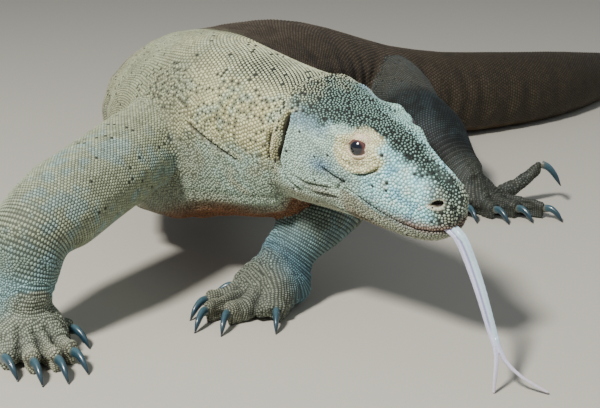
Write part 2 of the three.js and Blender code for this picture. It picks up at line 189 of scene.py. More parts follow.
def rounded(mesh, passes):
    points = points_of(mesh)
    edges, count = edges_of(mesh)
    for _ in range(END_PASSES):
        passes = neighbour_mean(passes.reshape(-1, 1).astype(float), edges, count)[:, 0]

    def smoothed(values):
        for i in range(int(passes.max()) + 1):
            share = PULL * np.clip(passes - i, 0, 1)[:, None]
            values = values + share * (neighbour_mean(values, edges, count) - values)
        return values

    soft = smoothed(points)
    return soft + smoothed(points - soft)


# How many passes each stretch of the form is given.
FAIRING = ((("neck", "trunk", "tail"), 70), (("upper_arm", "forearm"), 20), (("hand", "foot"), 5),
           (("head", "lower_jaw"), 14))
ROUNDING = ((("upper_arm", "forearm"), 40), (("thigh", "shank"), 90), (("tail",), 40))


def amounts(table):
    numbers = owners(points_of(fused))
    passes = np.zeros(len(numbers))
    for starts, amount in table:
        passes[owned_by(numbers, *starts)] = amount
    return passes


for shaped, table in ((faired, FAIRING), (rounded, ROUNDING)):
    set_points(fused, shaped(fused, amounts(table)))

# ---------------------------------------------------------------- measuring lines
# Where a point is on the animal: in the head's own frame, along and round the body, or along a leg.
# The head's turn is that of its solid, and the lines run through the joints of the solids.
HEAD_YAW = math.radians(-47.5)
HEAD_PITCH = math.radians(14.2)
HEAD_ROLL = math.radians(11.2)
EYE_PLACE = np.array([-97.0, 27.5, 25.0])
EYE_RADIUS = 10.0
head_turn = Matrix.Rotation(HEAD_YAW, 3, "Z") @ Matrix.Rotation(HEAD_PITCH, 3, "Y")
head_turn = np.array(head_turn @ Matrix.Rotation(HEAD_ROLL, 3, "X"))


def middle_of(name):
    low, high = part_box(name)
    return np.array((low + high) / 2)


between_eyes = (middle_of("eye_left") + middle_of("eye_right")) / 2
snout_tip = between_eyes - head_turn @ (EYE_PLACE * (1, 0, 1)) * MM


def in_head(points):
    return (points - snout_tip) @ head_turn / MM


def from_head(points):
    return np.asarray(points, float) * MM @ head_turn.T + snout_tip


# The middle of the gap between two neighbouring solids.
MEETING_GAP = 1.2 * MM


def meeting(a, b):
    piece = welded(b)
    tree = BVHTree.FromBMesh(piece)
    piece.free()
    corners = points_of(nodes[a].data)
    near = np.array([p for p in corners if tree.find_nearest(Vector(p))[3] < MEETING_GAP])
    return (near.min(0) + near.max(0)) / 2


BODY_ROW = ["neck_front", "neck_rear", "trunk_front", "trunk_middle", "trunk_rear",
            "tail_1", "tail_2", "tail_3", "tail_4", "tail_5"]
body_joints = [meeting("head", "neck_front")]
body_joints += [meeting(a, b) for a, b in zip(BODY_ROW, BODY_ROW[1:])]
tail_end = points_of(nodes["tail_5"].data)
tail_end = tail_end[np.argmax(np.linalg.norm(tail_end - body_joints[-1], axis=1))]
body_joints.append(tail_end)


# How far along a line each of its points is.
def run_of(line):
    return np.concatenate([[0], np.cumsum(np.linalg.norm(np.diff(line, axis=0), axis=1))])


# Values given along a run, read off at the wanted places.
def read_off(want, run, values):
    return np.stack([np.interp(want, run, column) for column in np.transpose(values)], -1)


# A smooth line through a few points, with a point every `pitch`.
def line_through(joints, pitch):
    joints = [np.asarray(j, float) for j in joints]
    ends = [2 * joints[0] - joints[1]] + joints + [2 * joints[-1] - joints[-2]]
    dense = []
    for a, b, c, d in zip(ends, ends[1:], ends[2:], ends[3:]):
        for t in np.linspace(0, 1, 60, endpoint=False):
            dense.append(0.5 * (2 * b + (c - a) * t + (2 * a - 5 * b + 4 * c - d) * t * t
                                + (3 * b - a - 3 * c + d) * t ** 3))
    dense = np.array(dense + [joints[-1]])
    run = run_of(dense)
    at = np.arange(0, run[-1], pitch)
    return read_off(at, run, dense), at


def unit(ways):
    return ways / np.linalg.norm(ways, axis=-1, keepdims=True)


def tangents(line):
    return unit(np.gradient(line, axis=0))


# The directions beside and above a line.
def axes_of(line, above=(0, 0, 1)):
    ahead = tangents(line)
    side = unit(np.cross(ahead, above))
    return side, np.cross(side, ahead)


def tree_of(points):
    tree = KDTree(len(points))
    for i, p in enumerate(points):
        tree.insert(p, i)
    tree.balance()
    return tree


BODY_PITCH = 4 * MM
body_line, body_run = line_through(body_joints, BODY_PITCH)
body_side, body_up = axes_of(body_line)
line_tree = tree_of(body_line)


# Distance behind the head in mm, and the angle round from the spine (0 at the spine, pi at the belly).
def on_body(points):
    i = np.array([line_tree.find(p)[1] for p in points])
    out = points - body_line[i]
    along = body_run[i] / MM
    angle = np.arctan2((out * body_side[i]).sum(1), (out * body_up[i]).sum(1))
    return along, angle


PAWS = {"hand_right": ("upper_arm_right", "forearm_right"), "hand_left": ("upper_arm_left", "forearm_left"),
        "foot_left": ("thigh_left", "shank_left"), "foot_right": ("thigh_right", "shank_right")}
claw_roots = {}
leg_joints = {}
hips = []
for paw, (upper, lower) in PAWS.items():
    knee = meeting(upper, lower)
    ankle = meeting(lower, paw)
    roots = [meeting(f"claw_{paw}_{i}", paw) for i in range(1, 6)]
    top = points_of(nodes[upper].data)
    hip = top[np.argsort(-np.linalg.norm(top - knee, axis=1))[:12]].mean(0)
    claw_roots[paw] = roots
    leg_joints[paw] = (hip, knee, ankle, np.mean(roots[1:4], axis=0))
    hips.append(hip)
SHOULDERS = hips[:2]
HAUNCHES = hips[2:]


# The gap from each point to the nearest of a few places.
def gap_to(points, places):
    return np.min([np.linalg.norm(points - place, axis=1) for place in places], axis=0)


# How much a point belongs to the shoulders or haunches: 1 at such a joint, 0 well away from it.
def hip_share(points, joints):
    return 1 - step(gap_to(points, joints), 50 * MM, 105 * MM)


# The gap from each point to a line, and where on the line its nearest place is, counted in joints.
def nearest_on_line(at, line):
    line = np.asarray(line, float)
    best = np.full(len(at), 1e9)
    share = np.zeros(len(at))
    for i, (a, b) in enumerate(zip(line, line[1:])):
        t = np.clip((at - a) @ (b - a) / ((b - a) @ (b - a)), 0, 1)
        gap = np.linalg.norm(at - a - t[:, None] * (b - a), axis=1)
        closer = gap < best
        share[closer] = i + t[closer]
        best[closer] = gap[closer]
    return best, share


def gap_to_line(at, line):
    return nearest_on_line(at, line)[0]


# How far down a leg a point is: 0 at the hip, 1 at the knee, 2 at the ankle, 3 at the claws.
def down_leg(points, paw):
    return nearest_on_line(points, leg_joints[paw])[1]


def of_leg(numbers, paw):
    return owned_by(numbers, *PAWS[paw], paw)


# ---------------------------------------------------------------- finer form where it is needed
# The head, the paws and most of all the lids, lips and nostrils need a closer mesh to be carved in.
PAW_WORDS = ("hand", "foot")
HEAD_WORDS = ("head", "lower_jaw")
form = bmesh.new()
form.from_mesh(fused)


# The one shell that reaches from the snout to the tail's end: closed specks left inside it go.
def largest_shell():
    left = set(form.verts)
    shells = []
    while left:
        edge = [left.pop()]
        shell = set(edge)
        while edge:
            near = {e.other_vert(v) for v in edge for e in v.link_edges} - shell
            shell |= near
            edge = list(near)
        left -= shell
        shells.append(shell)
    return max(shells, key=len)


shell = largest_shell()
bmesh.ops.delete(form, geom=[v for v in form.verts if v not in shell], context="VERTS")
form_tree = BVHTree.FromBMesh(form)


def face_middles():
    return np.array([f.calc_center_median() for f in form.faces])


def split_faces(wanted):
    form.faces.ensure_lookup_table()
    edges = {e for i in np.flatnonzero(wanted) for e in form.faces[i].edges}
    bmesh.ops.subdivide_edges(form, edges=list(edges), cuts=1, use_grid_fill=True)


LIP_LINE = np.array([(-101, -15.5), (-92, -18), (-78, -23.5), (-62, -27), (-44, -28), (-24, -26),
                     (-6, -21.5), (12, -18.5)])
EYES = [EYE_PLACE * (1, side, 1) for side in (-1, 1)]
NOSTRILS = [np.array([-13.0, side * 19.0, 4.2]) for side in (-1, 1)]


# How far a point is above the line where the lips meet.
def above_lips(h):
    return h[:, 2] - np.interp(h[:, 0], LIP_LINE[:, 0], LIP_LINE[:, 1])


# A line in the head's frame, moved out on to the head or neck it is drawn on.
def laid_on(line, side):
    line = np.asarray(line, float) * (1, side, 1)
    places = np.linspace(0, len(line) - 1, 8 * (len(line) - 1) + 1)
    dense = from_head(read_off(places, np.arange(len(line)), line))
    return in_head(np.array([form_tree.find_nearest(Vector(p))[0] for p in dense]))


# The gap from each point to a fold's line, and how much of the fold is left there: it dies out at its ends.
def along_fold(h, line):
    gap, joint = nearest_on_line(h, line)
    share = joint / (len(line) - 1)
    return gap, step(share, -0.02, 0.25) * (1 - step(share, 0.75, 1.02))


# Folds of the head and neck in the head's frame, for its right side: line, depth, half width, lip.
# The first is the deep slit in front of the eardrum.
HEAD_FOLDS = (
    ([(-178, -42, 34), (-172, -50, 22), (-171, -56, 7), (-174, -59, -13), (-170, -57, -28)], 9.5, 3.3, 2.4),
    ([(-172, -58, -22), (-160, -54, -36), (-148, -51, -42)], 3.0, 2.4, 1.2),
    ([(-186, -50, 18), (-186, -59, 0), (-184, -61, -18), (-176, -59, -34)], 2.4, 2.2, 1.4),
    ([(-304, -80, -21), (-263, -73, -31), (-216, -65, -40)], 3.2, 1.8, 1.2),
    ([(-137, -48, -36), (-123, -44, -33), (-107, -40, -31)], 2.2, 1.7, 0.9),
    ([(-101, -40, -6), (-106, -42, -14), (-111, -43, -23)], 1.6, 1.6, 0.8),
    ([(-98, -39, -12), (-114, -44, -8), (-130, -49, -1)], 2.6, 1.9, 1.0),
    ([(-97, -38, 0), (-90, -36, 2), (-83, -35, 5), (-75, -32, 11), (-69, -28, 20)], 2.6, 1.3, 1.2),
    ([(-160, -53, -22), (-142, -51, -27), (-124, -46, -24), (-112, -43, -22)], 1.8, 2.0, 0.7),
    ([(-115, -40, 19), (-107, -41, 12), (-97, -40, 9.5), (-86, -38, 12), (-80, -35, 18)], 1.5, 1.2, 0.9),
    ([(-120, -36, -46), (-100, -31, -46), (-80, -27, -45)], 1.4, 1.7, 0.6),
)
LAID_FOLDS = [(laid_on(line, side), *rest) for line, *rest in HEAD_FOLDS for side in (1, -1)]
FOLDS_BACK_TO = -330


# How deep in one of those folds a point lies: 1 along its bottom, 0 outside.
def fold_share(h):
    share = np.zeros(len(h))
    near = h[:, 0] > FOLDS_BACK_TO
    for line, depth, width, _ in LAID_FOLDS:
        close = near.copy()
        close[near] = np.linalg.norm(h[near] - line.mean(0), axis=1) < 75
        gap, left = along_fold(h[close], line)
        share[close] = np.maximum(share[close], left * min(depth / 3, 2) * bell(gap, 0, 0.95 * width))
    return np.minimum(share, 1)


middles = face_middles()
h = in_head(middles)
on_head = owned_by(owners(middles), *HEAD_WORDS)
near_lips = on_head & (np.abs(above_lips(h)) < 7) & (h[:, 0] > -112)
near_holes = on_head & ((gap_to(h, EYES) < 22) | (gap_to(h, NOSTRILS) < 12))
split_faces((fold_share(h) > 0.002) | near_lips | near_holes)
h = in_head(face_middles())
split_faces((gap_to(h, EYES) < 15.5) | (gap_to(h, NOSTRILS) < 8))

hide_mesh = mesh_of("hide", form)
passes = np.where(owned_by(owners(points_of(hide_mesh)), *HEAD_WORDS, *PAW_WORDS), 5, 0)
points = faired(hide_mesh, np.maximum(passes, 30 * hip_share(points_of(hide_mesh), SHOULDERS)))
set_points(hide_mesh, points)
points = rounded(hide_mesh, 90 * hip_share(points, HAUNCHES))
set_points(hide_mesh, points)


def normals_of(mesh):
    flat = np.empty(len(mesh.vertices) * 3)
    mesh.vertices.foreach_get("normal", flat)
    return flat.reshape(-1, 3)


# ---------------------------------------------------------------- carving
# Folds, lids, lips, nostrils and wrinkles are pressed into the hide, each along its own line.
# Everything is first let in by the depth of the scales that will stand on it.
SCALE_DEPTH = 1.0
LET_IN = (FUSE_SWELL / MM + SCALE_DEPTH) * 0.8
numbers = owners(points)
normals = normals_of(hide_mesh)
h = in_head(points)
along, angle = on_body(points)
head_part = owned_by(numbers, *HEAD_WORDS)
body_part = owned_by(numbers, "neck", "trunk", "tail")
lift = np.full(len(points), -LET_IN)
near_head = h[:, 0] > FOLDS_BACK_TO
folded = fold_share(h)
for line, depth, width, edge in LAID_FOLDS:
    gap, left = along_fold(h[near_head], line)
    press = edge * bell(gap, 2.2 * width, 1.1 * width) - depth * bell(gap, 0, width)
    lift[near_head] += left * press

# The lips meet in a fine groove, with the upper lip swelling over it.
over_lip = above_lips(h)
mouth = head_part * step(h[:, 0], -104, -97)
lift += mouth * (0.9 * bell(over_lip, 3.6, 2.6) - 2.0 * bell(over_lip, 0, 0.9) + 0.5 * bell(over_lip, -3, 2))

# The snout's two halves part in a valley, and the brows stand over the eyes. Behind them the temples
# are a little sunken, and the jaw muscles swell behind the corners of the mouth.
SNOUT_VALLEY = [(-46, 1, 24), (-27, 1, 19), (-10, -3, 11), (0, -6, 4), (3, -6, -4)]
BROW = [(-72, 25, 27), (-84, 28, 32), (-97, 30.5, 36), (-110, 32, 37.5), (-122, 33, 36)]
gap = gap_to_line(h, SNOUT_VALLEY)
lift += head_part * (1.5 * bell(gap, 7, 3.6) - 3.4 * bell(gap, 0, 2.6)) * step(h[:, 0], -46, -30)
for side in (1, -1):
    gap = gap_to_line(h, np.array(BROW) * (1, side, 1))
    lift += head_part * 3.0 * bell(gap, 0, 5.0)
    temple = np.linalg.norm(h - (-150, 33 * side, 36), axis=1)
    jaw = np.linalg.norm((h - (-146, 51 * side, -8)) * (0.8, 1, 1), axis=1)
    cheek = np.linalg.norm((h - (-50, 27 * side, 4)) * (0.7, 1, 1), axis=1)
    lift += head_part * (2.0 * bell(jaw, 0, 17) - 2.2 * bell(temple, 0, 13) + 0.9 * bell(cheek, 0, 15))


# How far down in a valley between two toes a point is: 1 along its bottom, 0 outside.
def toe_valleys(points, paw, width):
    ankle = leg_joints[paw][2]
    deep = np.zeros(len(points))
    for a, b in zip(claw_roots[paw], claw_roots[paw][1:]):
        fork = (a + b) / 2
        ends = [(0.4 * ankle + 0.6 * fork)[:2], (1.08 * fork - 0.08 * ankle)[:2]]
        deep = np.maximum(deep, bell(gap_to_line(points[:, :2], ends), 0, width))
    return deep * step(down_leg(points, paw), 2.25, 2.7)


# How deep in a ring wrinkle of its leg a point is: they lie close round the wrists and ankles and run on
# over the toes, and one deep crease crosses the inside of each elbow and knee.
RING_PITCH = 8 * MM


def leg_rings(points, paw):
    hip, knee, ankle, _ = leg_joints[paw]
    share = down_leg(points, paw)
    run = np.interp(share, range(4), run_of(leg_joints[paw]))
    wave = bell((run / RING_PITCH) % 1, 0.5, 0.2)
    inside = unit(unit(hip - knee) + unit(ankle - knee))
    facing = (points - knee) @ inside / np.linalg.norm(points - knee, axis=1)
    crease = bell(share, 1.0, 0.05) * step(facing, 0.0, 0.5)
    return np.maximum(wave * np.minimum(1, bell(share, 1.9, 0.26) + 0.45 * step(share, 2.0, 2.3)), crease)


# On the paws the toes are parted by valleys that run back over the palm. Each has its knuckle, and a hood
# of skin over the root of its claw.
for paw in PAWS:
    own = of_leg(numbers, paw)
    on_leg = points[own]
    lift[own] -= 1.6 * leg_rings(on_leg, paw) + 5.2 * toe_valleys(on_leg, paw, 3.4 * MM)
    for tip in claw_roots[paw]:
        knuckle = np.linalg.norm(on_leg - (tip * 0.78 + 0.22 * leg_joints[paw][2]), axis=1)
        lift[own] += 1.8 * bell(knuckle, 12 * MM, 5 * MM) * step(on_leg[:, 2], 8 * MM, 14 * MM)
        hood = bell(np.linalg.norm(on_leg - tip, axis=1), 7 * MM, 4 * MM)
        lift[own] += 2.2 * hood * step(on_leg[:, 2] - tip[2], -2 * MM, 3 * MM)

# Slack skin: upright folds down the flanks, and long soft folds along the throat.
FLANK_FOLD = 21
round_by = np.abs(angle)
sway = np.array([noise.noise(Vector(p) * 9) for p in points])
flank = bell(round_by, 1.7, 0.8) * step(along, 150, 260) * (1 - step(along, 1000, 1300))
lift += body_part * flank * 1.6 * np.sin(math.pi * along / FLANK_FOLD + 5 * sway)
throat = step(round_by, 2.05, 2.4) * step(along, -20, 20) * (1 - step(along, 150, 230))
lift += body_part * throat * 1.1 * np.sin(round_by * 24 + 5 * sway)
lift += 0.8 * sway * body_part
points = points + normals * lift[:, None] * MM

# The brows are rounded once more, so that they stand over the eyes as smooth domes.
set_points(hide_mesh, points)
h = in_head(points)
right = h[:, 1] < 0
brow_top = step(h[:, 2], 21 + 6 * right, 30) * bell(h[:, 0], -94, 34) * (np.abs(h[:, 1]) > 12)
points = rounded(hide_mesh, 90 * brow_top * head_part * np.where(right, 0.2, 1))

# Lids: round each eye the hide is a dome just outside the eyeball, creased along its rim. Inside the
# opening it drops behind the ball.
LID_RISE = 1.3
LID_REACH = 19
OPENING = (9.4, 6.6)
h = in_head(points)
for side in (-1, 1):
    eye = EYE_PLACE * (1, side, 1)
    out = unit(np.array([0.2, 0.93 * side, 0.3]))
    ahead = np.array([1, 0, 0.25])
    wide = unit(ahead - out * (ahead @ out))
    high = np.cross(wide, out) * -side
    reach = np.maximum(np.linalg.norm(h - eye, axis=1), 0.1)
    way = (h - eye) / reach[:, None]
    q = np.hypot(EYE_RADIUS * way @ wide / OPENING[0], EYE_RADIUS * way @ high / OPENING[1])
    near = (reach < LID_REACH) & (way @ out > 0.15)
    creases = 0.3 * bell(q, 1.15, 0.1) - 0.7 * bell(q, 1.4, 0.08) - 0.6 * bell(q, 1.75, 0.1)
    lid = EYE_RADIUS + LID_RISE + creases
    inside = EYE_RADIUS - 2.5
    target = inside + (lid - inside) * step(q, 0.93, 1.12)
    weight = near * (1 - step(q, 1.5, 2.5)) * (1 - step(reach, 14, LID_REACH))
    h = h + weight[:, None] * (eye + way * target[:, None] - h)


# How far a point is from a nostril's middle: 1 is the rim of its slanting slit.
def nostril_reach(h):
    reach = np.full(len(h), 99.0)
    for place in NOSTRILS:
        x, _, z = (h - place).T
        slit = np.hypot((x + 0.5 * z) / 5.8, (z - 0.45 * x) / (3.1 + 0.2 * x))
        reach = np.minimum(reach, np.where(np.linalg.norm(h - place, axis=1) < 13, slit, 99))
    return reach


# Nostrils: a slanting slit on each side of the snout, with a swollen rim.
slit = nostril_reach(h)
h[:, 1] -= np.sign(h[:, 1]) * (6.0 * np.exp(-slit ** 4) - 1.1 * bell(slit, 1.55, 0.35))
moved = (h != in_head(points)).any(1)
points = np.where(moved[:, None], from_head(h), points)

# Nothing sinks below the floor, and the soles stay flat on it.
SOLE = 0.3 * MM
points[:, 2] = np.maximum(points[:, 2], SOLE)
set_points(hide_mesh, points)

# What was pressed in as a fold keeps its share of shade, looked up at the nearest carved point.
carved = np.flatnonzero(near_head)
fold_tree = tree_of(points[carved])


def in_fold(points):
    share = np.zeros(len(points))
    for i in np.flatnonzero(in_head(points)[:, 0] > FOLDS_BACK_TO + 5):
        share[i] = folded[carved[fold_tree.find(points[i])[1]]]
    return share


# The plain stretches of the body need fewer faces than the head, paws and folds.
HIDE_SHARE = 0.5
BUSY_WEIGHT = 0.05
hide_block = stood("hide_block", hide_mesh)
plain_skin = hide_block.vertex_groups.new(name="plain")
busy = owned_by(numbers, *HEAD_WORDS, *PAW_WORDS) | (folded > 0.002)
plain_skin.add(np.flatnonzero(~busy).tolist(), 1.0, "REPLACE")
plain_skin.add(np.flatnonzero(busy).tolist(), BUSY_WEIGHT, "REPLACE")
thin = hide_block.modifiers.new("thin", "DECIMATE")
thin.ratio = HIDE_SHARE
thin.vertex_group = "plain"
hide_mesh = worked(hide_block)
hide_mesh.name = "hide"
hide_mesh.shade_smooth()
hide_mesh.update()
points = points_of(hide_mesh)

# ---------------------------------------------------------------- markings
# The animal's colours by place, shared by the hide and the scales on it: pale beads on black over the crown
# and nape, cream lids, blue-grey cheeks, a dotted cream neck, and a dark trunk, tail and hind legs, partly
# painted shade.


def paint(red, green, blue):
    return (np.array([red, green, blue]) / 255) ** 2.2


def blotches(points, size, seed):
    shift = Vector((seed * 7.3, seed * 3.1, seed * 5.7))
    return np.array([noise.noise(Vector(p) / size + shift) for p in points])


def lay(colour, share, paint_on):
    share = np.clip(share, 0, 1)[:, None]
    return colour * (1 - share) + paint_on * share


# Coats laid one over another, each over the share given with it.
def coated(colour, *coats):
    for share, tone in coats:
        colour = lay(colour, share, paint(*tone))
    return colour


def plain(count, *tone):
    return np.tile(paint(*tone), (count, 1))


DARK_SKIN = paint(30, 36, 34)
FOLD_SHADE = paint(52, 40, 32)
# The outline of the pale skin round an eye, in the head's frame: turn from straight ahead, and reach.
PATCH_TURNS = np.radians((2, 22, 68, 109, 140, 155, 174, 201, 233, 283, 320, 342))
PATCH_REACH = (26, 21, 16, 17, 21, 24.5, 23.5, 21, 19, 17, 20, 24)


def patch_share(at):
    dx, dz = at[:, 0] + 94, at[:, 2] - 21
    edge = np.interp(np.arctan2(dz, dx) % (2 * math.pi), PATCH_TURNS, PATCH_REACH, period=2 * math.pi)
    return (1 - step(np.hypot(dx, dz) / edge, 0.86, 1.14)) * (np.abs(at[:, 1]) > 13)


def markings(points):
    at = in_head(points)
    x, y, z = at.T
    wide = np.abs(y)
    numbers = owners(points)
    head = owned_by(numbers, *HEAD_WORDS)
    along, angle = on_body(points)
    round_by = np.abs(angle)
    coarse = blotches(points, 38 * MM, 1)
    fine = blotches(points, 11 * MM, 2)
    specks = blotches(points, 5 * MM, 3)
    count = len(points)

    # Body: cream neck, cooler below, browner and darker from the shoulders back. The dark trunk and tail are
    # partly the hide's own colour and partly painted shade.
    shoulder = step(along + 50 * coarse, 55, 175)
    back = step(along + 70 * coarse + 50 * fine + 40 * (round_by - 1), 235, 405)
    bands = step(np.sin(along / 19 + 5 * coarse) + fine, 0.2, 1.2)
    tail = step(along, 780, 1000)
    nape = (1 - step(round_by, 0.3, 0.85)) * (1 - step(along, 50, 170))
    colour = coated(
        plain(count, 204, 202, 156),
        (0.6 * step(coarse + 0.5 * specks, 0.0, 0.5), (206, 212, 150)),
        (step(round_by + 0.2 * coarse, 1.25, 1.75), (160, 178, 158)),
        (0.55 * step(fine + coarse, 0.1, 0.6), (156, 182, 170)),
        (0.2 * step(coarse - fine, 0.2, 0.6), (190, 168, 126)),
        # The throat's underside is orange-brown, darkened partly as painted shade.
        (step(round_by - 0.2 * (1 - step(along, 20, 90)), 2.25, 2.7), (128, 86, 56)),
        (0.85 * shoulder * (1 - step(round_by, 2.2, 2.6)), (134, 138, 116)),
        (back, (84, 74, 61)),
        (0.45 * back * bands, (58, 52, 44)),
        (tail, (68, 60, 47)),
        (0.5 * tail * step(fine, 0.05, 0.4), (54, 48, 40)),
        (0.6 * (along > 330) * step(round_by, 2.3, 2.8), (138, 116, 88)),
        (nape, (190, 194, 160)),
    )
    speckled = (1 - step(along, 90, 210)) * step(coarse + 0.4 * fine, -0.4, 0.2)
    dots = 1.1 * bell(round_by, 1.05, 0.42) * speckled
    dots = np.maximum(dots, 0.1 * step(along, 80, 160) * (1 - step(along, 300, 420)) * (round_by < 1.3))
    dots = np.maximum(np.where(round_by > 1.9, 0.02, dots), 0.07 * nape)
    gap_tone = lay(0.36 * colour, nape, 1.2 * DARK_SKIN)
    fill = 0.93 - 0.22 * nape
    edge = 0.35 + 0.5 * nape

    # Legs: green-grey arms with pale blue wrists, and hind legs dark from the knee down, that darkness partly
    # painted shade.
    for paw in PAWS:
        own = of_leg(numbers, paw)
        share = down_leg(points[own], paw)
        cool = step(fine[own] + coarse[own], -0.1, 0.5)
        if paw.startswith("hand"):
            limb = coated(
                plain(own.sum(), 150, 158, 132),
                (step(share, 0.9, 1.3), (124, 142, 130)),
                (0.45 * cool, (112, 146, 158)),
                (step(share, 1.45, 1.75), (146, 182, 182)),
                (step(share, 1.9, 2.3), (148, 156, 138)),
                (0.6 * step(share, 2.6, 3.0), (166, 164, 140)),
            )
            dots[own] = 0.05 * bell(share, 0.45, 0.35)
            if paw == "hand_left":
                # The whole left foreleg is painted darker as painted shade, with a blue tint over its wrist.
                limb = lay(0.66 * limb, 0.6 * bell(share, 1.95, 0.2), paint(74, 116, 138))
        else:
            limb = coated(
                plain(own.sum(), 92, 92, 84),
                (step(share, 0.7, 1.1), (38, 44, 43)),
                (step(share, 1.7, 2.1), (94, 98, 88)),
                (0.3 * cool, (66, 82, 86)),
            )
            dots[own] = 0.05
        # Painted shade: darker in the valleys between the toes and in the ring wrinkles.
        limb = limb * (1 - 0.66 * toe_valleys(points[own], paw, 3.8 * MM))[:, None]
        limb = limb * (1 - 0.35 * leg_rings(points[own], paw))[:, None]
        colour[own] = limb
        gap_tone[own] = 0.26 * limb
        fill[own] = 0.93
        edge[own] = 0.42 + 0.25 * bell(share, 0.55, 0.35)
    joint = hip_share(points, SHOULDERS)
    low = step(-points[:, 2], -170 * MM, -120 * MM)
    near_shoulder = coated(plain(count, 152, 156, 128), (low, (150, 168, 152)))
    near_shoulder = near_shoulder * (1 - 0.25 * step(fine, 0.1, 0.5))[:, None]
    colour = lay(colour, 0.9 * joint * (round_by < 2.4), near_shoulder)
    gap_tone = lay(gap_tone, 0.9 * joint, 0.36 * near_shoulder)

    # Head: blue-grey with a greener cheek, pale round the eyes, black between the beads of the crown.
    nose = step(x + 0.5 * z, -24, -6)
    snout = step(x, -90, -70)
    over_lip = above_lips(at)
    crown_edge = 6 * fine + 6 * specks + np.interp(
        x, (-200, -155, -135, -118, -95, -70, -50, -20, 0), (36, 36, 35, 28, 19, 16, 15, 9, 5))
    crown = (1 - step(wide, crown_edge - 7, crown_edge + 6)) * step(z, 2, 12)
    patch = patch_share(at)
    far_brow = (y > 0) * step(z + 0.15 * (x + 94), 19, 26)
    face = coated(
        plain(count, 188, 218, 203),
        (step(x, -100, -72), (188, 252, 255)),
        (0.75 * bell(x, -126, 13) * bell(z, -1, 9), (112, 150, 184)),
        (0.7 * bell(x, -104, 12) * bell(z, -7, 5), (84, 108, 124)),
        (step(z, 18, 30) * step(-x, 122, 138), (150, 184, 192)),
        (0.55 * step(z, 24, 34) * step(-x, 130, 146), (88, 112, 126)),
        (0.75 * step(fine + specks, 0.05, 0.5) * snout, (130, 186, 210)),
        (0.6 * step(specks - fine, 0.2, 0.5) * step(x, -90, -60), (226, 248, 240)),
        (0.2 * step(coarse - fine, 0.0, 0.5), (190, 206, 176)),
        (0.85 * nose, (158, 164, 138)),
        (0.75 * step(x, -100, -80) * bell(over_lip, 0, 8), (112, 118, 106)),
        (0.8 * step(x, -70, -30) * bell(over_lip, 2, 7), (142, 108, 92)),
        (step(-over_lip, 1, 5) * step(x, -112, -100), (158, 164, 144)),
        # Below the corner of the mouth the jaw is pinkish-brown, darkened partly as painted shade.
        (0.7 * step(-over_lip, 14, 28) * step(x, -114, -90), (122, 106, 84)),
        (step(-z, 32, 50) * (1 - step(x, -118, -100)), (166, 170, 148)),
        (0.6 * bell(x, -124, 22) * bell(z, -31, 9), (148, 130, 108)),
        (crown, (124, 154, 144)),
        (patch, (250, 255, 208)),
        (0.6 * patch * step(fine + specks, 0.0, 0.5), (212, 206, 160)),
        (0.5 * patch * step(specks - fine, 0.1, 0.5), (206, 222, 196)),
        (0.5 * (1 - step(gap_to(at, EYES), 12, 15)), (226, 202, 180)),
        (far_brow * (wide > 13) * bell(x, -92, 34), (172, 220, 212)),
    )
    face_gap = lay(0.34 * face, crown * (1 - 0.35 * step(x, -60, -20)), DARK_SKIN)
    face_gap = lay(face_gap, 0.8 * nose, 1.3 * DARK_SKIN)
    face_gap = coated(face_gap, (patch * (1 - far_brow), (168, 160, 122)))
    face_fill = 0.93 - 0.22 * crown - 0.06 * nose - 0.03 * step(x, -80, -60)
    face_dots = 0.02 + 0.34 * crown + 0.03 * snout * (z > -10) + 0.12 * nose
    face_edge = 0.32 + 0.58 * crown + 0.3 * nose + 0.25 * snout - 0.2 * patch

    # Head and neck run into one another behind the ear, whose rim is pale.
    soft = 1.5 + 24 * np.maximum(step(z, 30, 44), step(-z, 28, 44))
    blend = step(x + (4 + 0.8 * soft) * fine, -175 - soft, -172 + soft) * (head | owned_by(numbers, "neck"))
    ear_rim = bell(x, -181, 5) * (wide > 38) * bell(z, 0, 30)
    colour = lay(coated(colour, (0.8 * ear_rim, (224, 218, 180))), blend, face)
    gap_tone = lay(gap_tone, blend, face_gap)
    fill = fill * (1 - blend) + face_fill * blend
    edge = edge * (1 - blend) + face_edge * blend
    dots = dots * (1 - 0.8 * ear_rim) * (1 - blend) + face_dots * blend * (patch < 0.5)

    # Folds are painted darker where they are pressed in: painted shade in their creases.
    deep = in_fold(points)
    shade = (1 + 0.16 * coarse + 0.14 * fine)[:, None]
    colour = lay(colour, 0.8 * deep, FOLD_SHADE) * shade
    gap_tone = lay(gap_tone, 0.97 * deep, 0.35 * FOLD_SHADE) * shade
    return colour, gap_tone, np.clip(dots, 0, 1), fill, np.clip(edge, 0, 0.9)


def tinted(mesh, colours):
    layer = mesh.color_attributes.new("tint", "FLOAT_COLOR", "POINT")
    full = np.ones((len(colours), 4), np.float32)
    full[:, :3] = np.clip(colours, 0, 1)
    layer.data.foreach_set("color", full.ravel())


